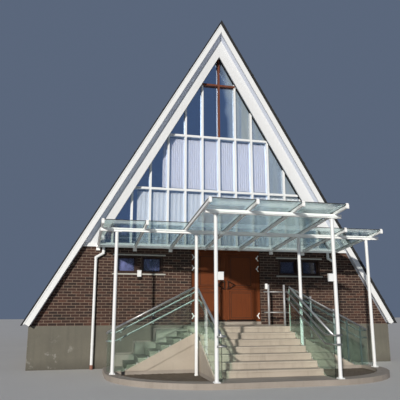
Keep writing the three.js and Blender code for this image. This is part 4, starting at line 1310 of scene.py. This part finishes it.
def fit_lamps():
    """The wall lamp's hood and shade, round lamps on the sill beam, and lids on the posts' lamp boxes."""
    white = Shape()
    dark = Shape()
    low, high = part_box("wall_lamp")
    dark.box((low.x + 0.012, high.x - 0.012), (low.y + 0.008, high.y), (low.z - 0.060, low.z - 0.001))
    white.box((low.x - 0.004, high.x + 0.004), (low.y - 0.004, high.y), (high.z - 0.030, high.z + 0.004))
    y = SILL_FACE - SILL_LAMP_OFF
    for x, z in SILL_LAMPS:
        white.rod(x, y, (z - 0.02, z + 0.05), 0.042, 20)
        white.box(about(x, 0.02), (SILL_FACE - 0.06, SILL_FACE), (z + 0.01, z + 0.04))
        dark.rod(x, y, (z - 0.024, z - 0.019), 0.034, 20)
    for side, sign in SIDES:
        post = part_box(f"post_front_{side}")
        x = POST_X + sign * (POST_REACH["front"] - POST_LAMP_OFF)
        y = (post[0].y + post[1].y) / 2
        dark.box(about(x, 0.030), about(y, 0.022), (POST_LAMP_Z - 0.005, POST_LAMP_Z + 0.002))
        white.box(about(x, 0.046), about(y, 0.034), (POST_LAMP_Z + 0.150, POST_LAMP_Z + 0.166))
    white.make("lamp_housings", WHITE, bevel=0.003)
    dark.make("lamp_shades", DARK_STEEL, bevel=0.002)


# Stage: a pale floor, a low warm sun and a faint blue surrounding
FLOOR_HALF = 60
SUN_AIM = Vector((0.553, 1.0, -0.35))
SUN_POWER = 3.6
SUN_WIDTH = math.radians(1.6)
SUN_COLOUR = (1.0, 0.955, 0.88)
SKY_COLOUR = (0.52, 0.68, 1.0, 1)
SKY_POWER = 0.20


def set_stage():
    floor = Shape()
    floor.box(about(0, FLOOR_HALF), about(0, FLOOR_HALF), (-0.02, 0.0))
    look = plain_look("studio_floor", (0.60, 0.585, 0.56), (0.56, 0.545, 0.525), 0.4, 0.9)
    piece = floor.make("studio_floor", look)
    light = bpy.data.lights.new("key", "SUN")
    light.energy = SUN_POWER
    light.angle = SUN_WIDTH
    light.color = SUN_COLOUR
    sun = bpy.data.objects.new("key", light)
    sun.rotation_euler = SUN_AIM.to_track_quat("-Z", "Y").to_euler()
    bpy.context.scene.collection.objects.link(sun)
    world = bpy.data.worlds.new("studio")
    world.use_nodes = True
    back = world.node_tree.nodes["Background"]
    back.inputs["Color"].default_value = SKY_COLOUR
    back.inputs["Strength"].default_value = SKY_POWER
    bpy.context.scene.world = world
    bpy.context.scene.view_settings.view_transform = "Standard"


# Camera, at the photo's viewing point
EYE = (-3.961, FRONT - 14.086, 1.544)
YAW = math.radians(13.14)
PITCH = math.radians(12.50)
LENS = 45.45
SHIFT = (0.0015, -0.009)


def set_camera():
    data = bpy.data.cameras.new("camera")
    data.lens = LENS
    data.sensor_width = 36
    data.shift_x, data.shift_y = SHIFT
    data.clip_end = 300
    camera = bpy.data.objects.new("camera", data)
    camera.location = EYE
    camera.rotation_euler = (math.pi / 2 + PITCH, 0, -YAW)
    bpy.context.scene.collection.objects.link(camera)
    bpy.context.scene.camera = camera


set_camera()
dress_construction()
lay_bricks()
cover_roof()
cover_ridge()
trim_verges()
line_overhangs()
trim_gables()
line_ceiling()
hang_curtain("upper", UPPER_CLOTH, pleat=0.066, swing=0.008)
hang_curtain("lower", LOWER_CLOTH, pleat=0.130, swing=0.012)
frame_windows()
dress_doors()
dress_canopy()
dress_posts()
dress_steps()
fill_planters()
fill_beds()
run_rails()
run_landing_rail()
fit_glass_clamps()
fit_downpipes()
fit_lamps()
set_stage()
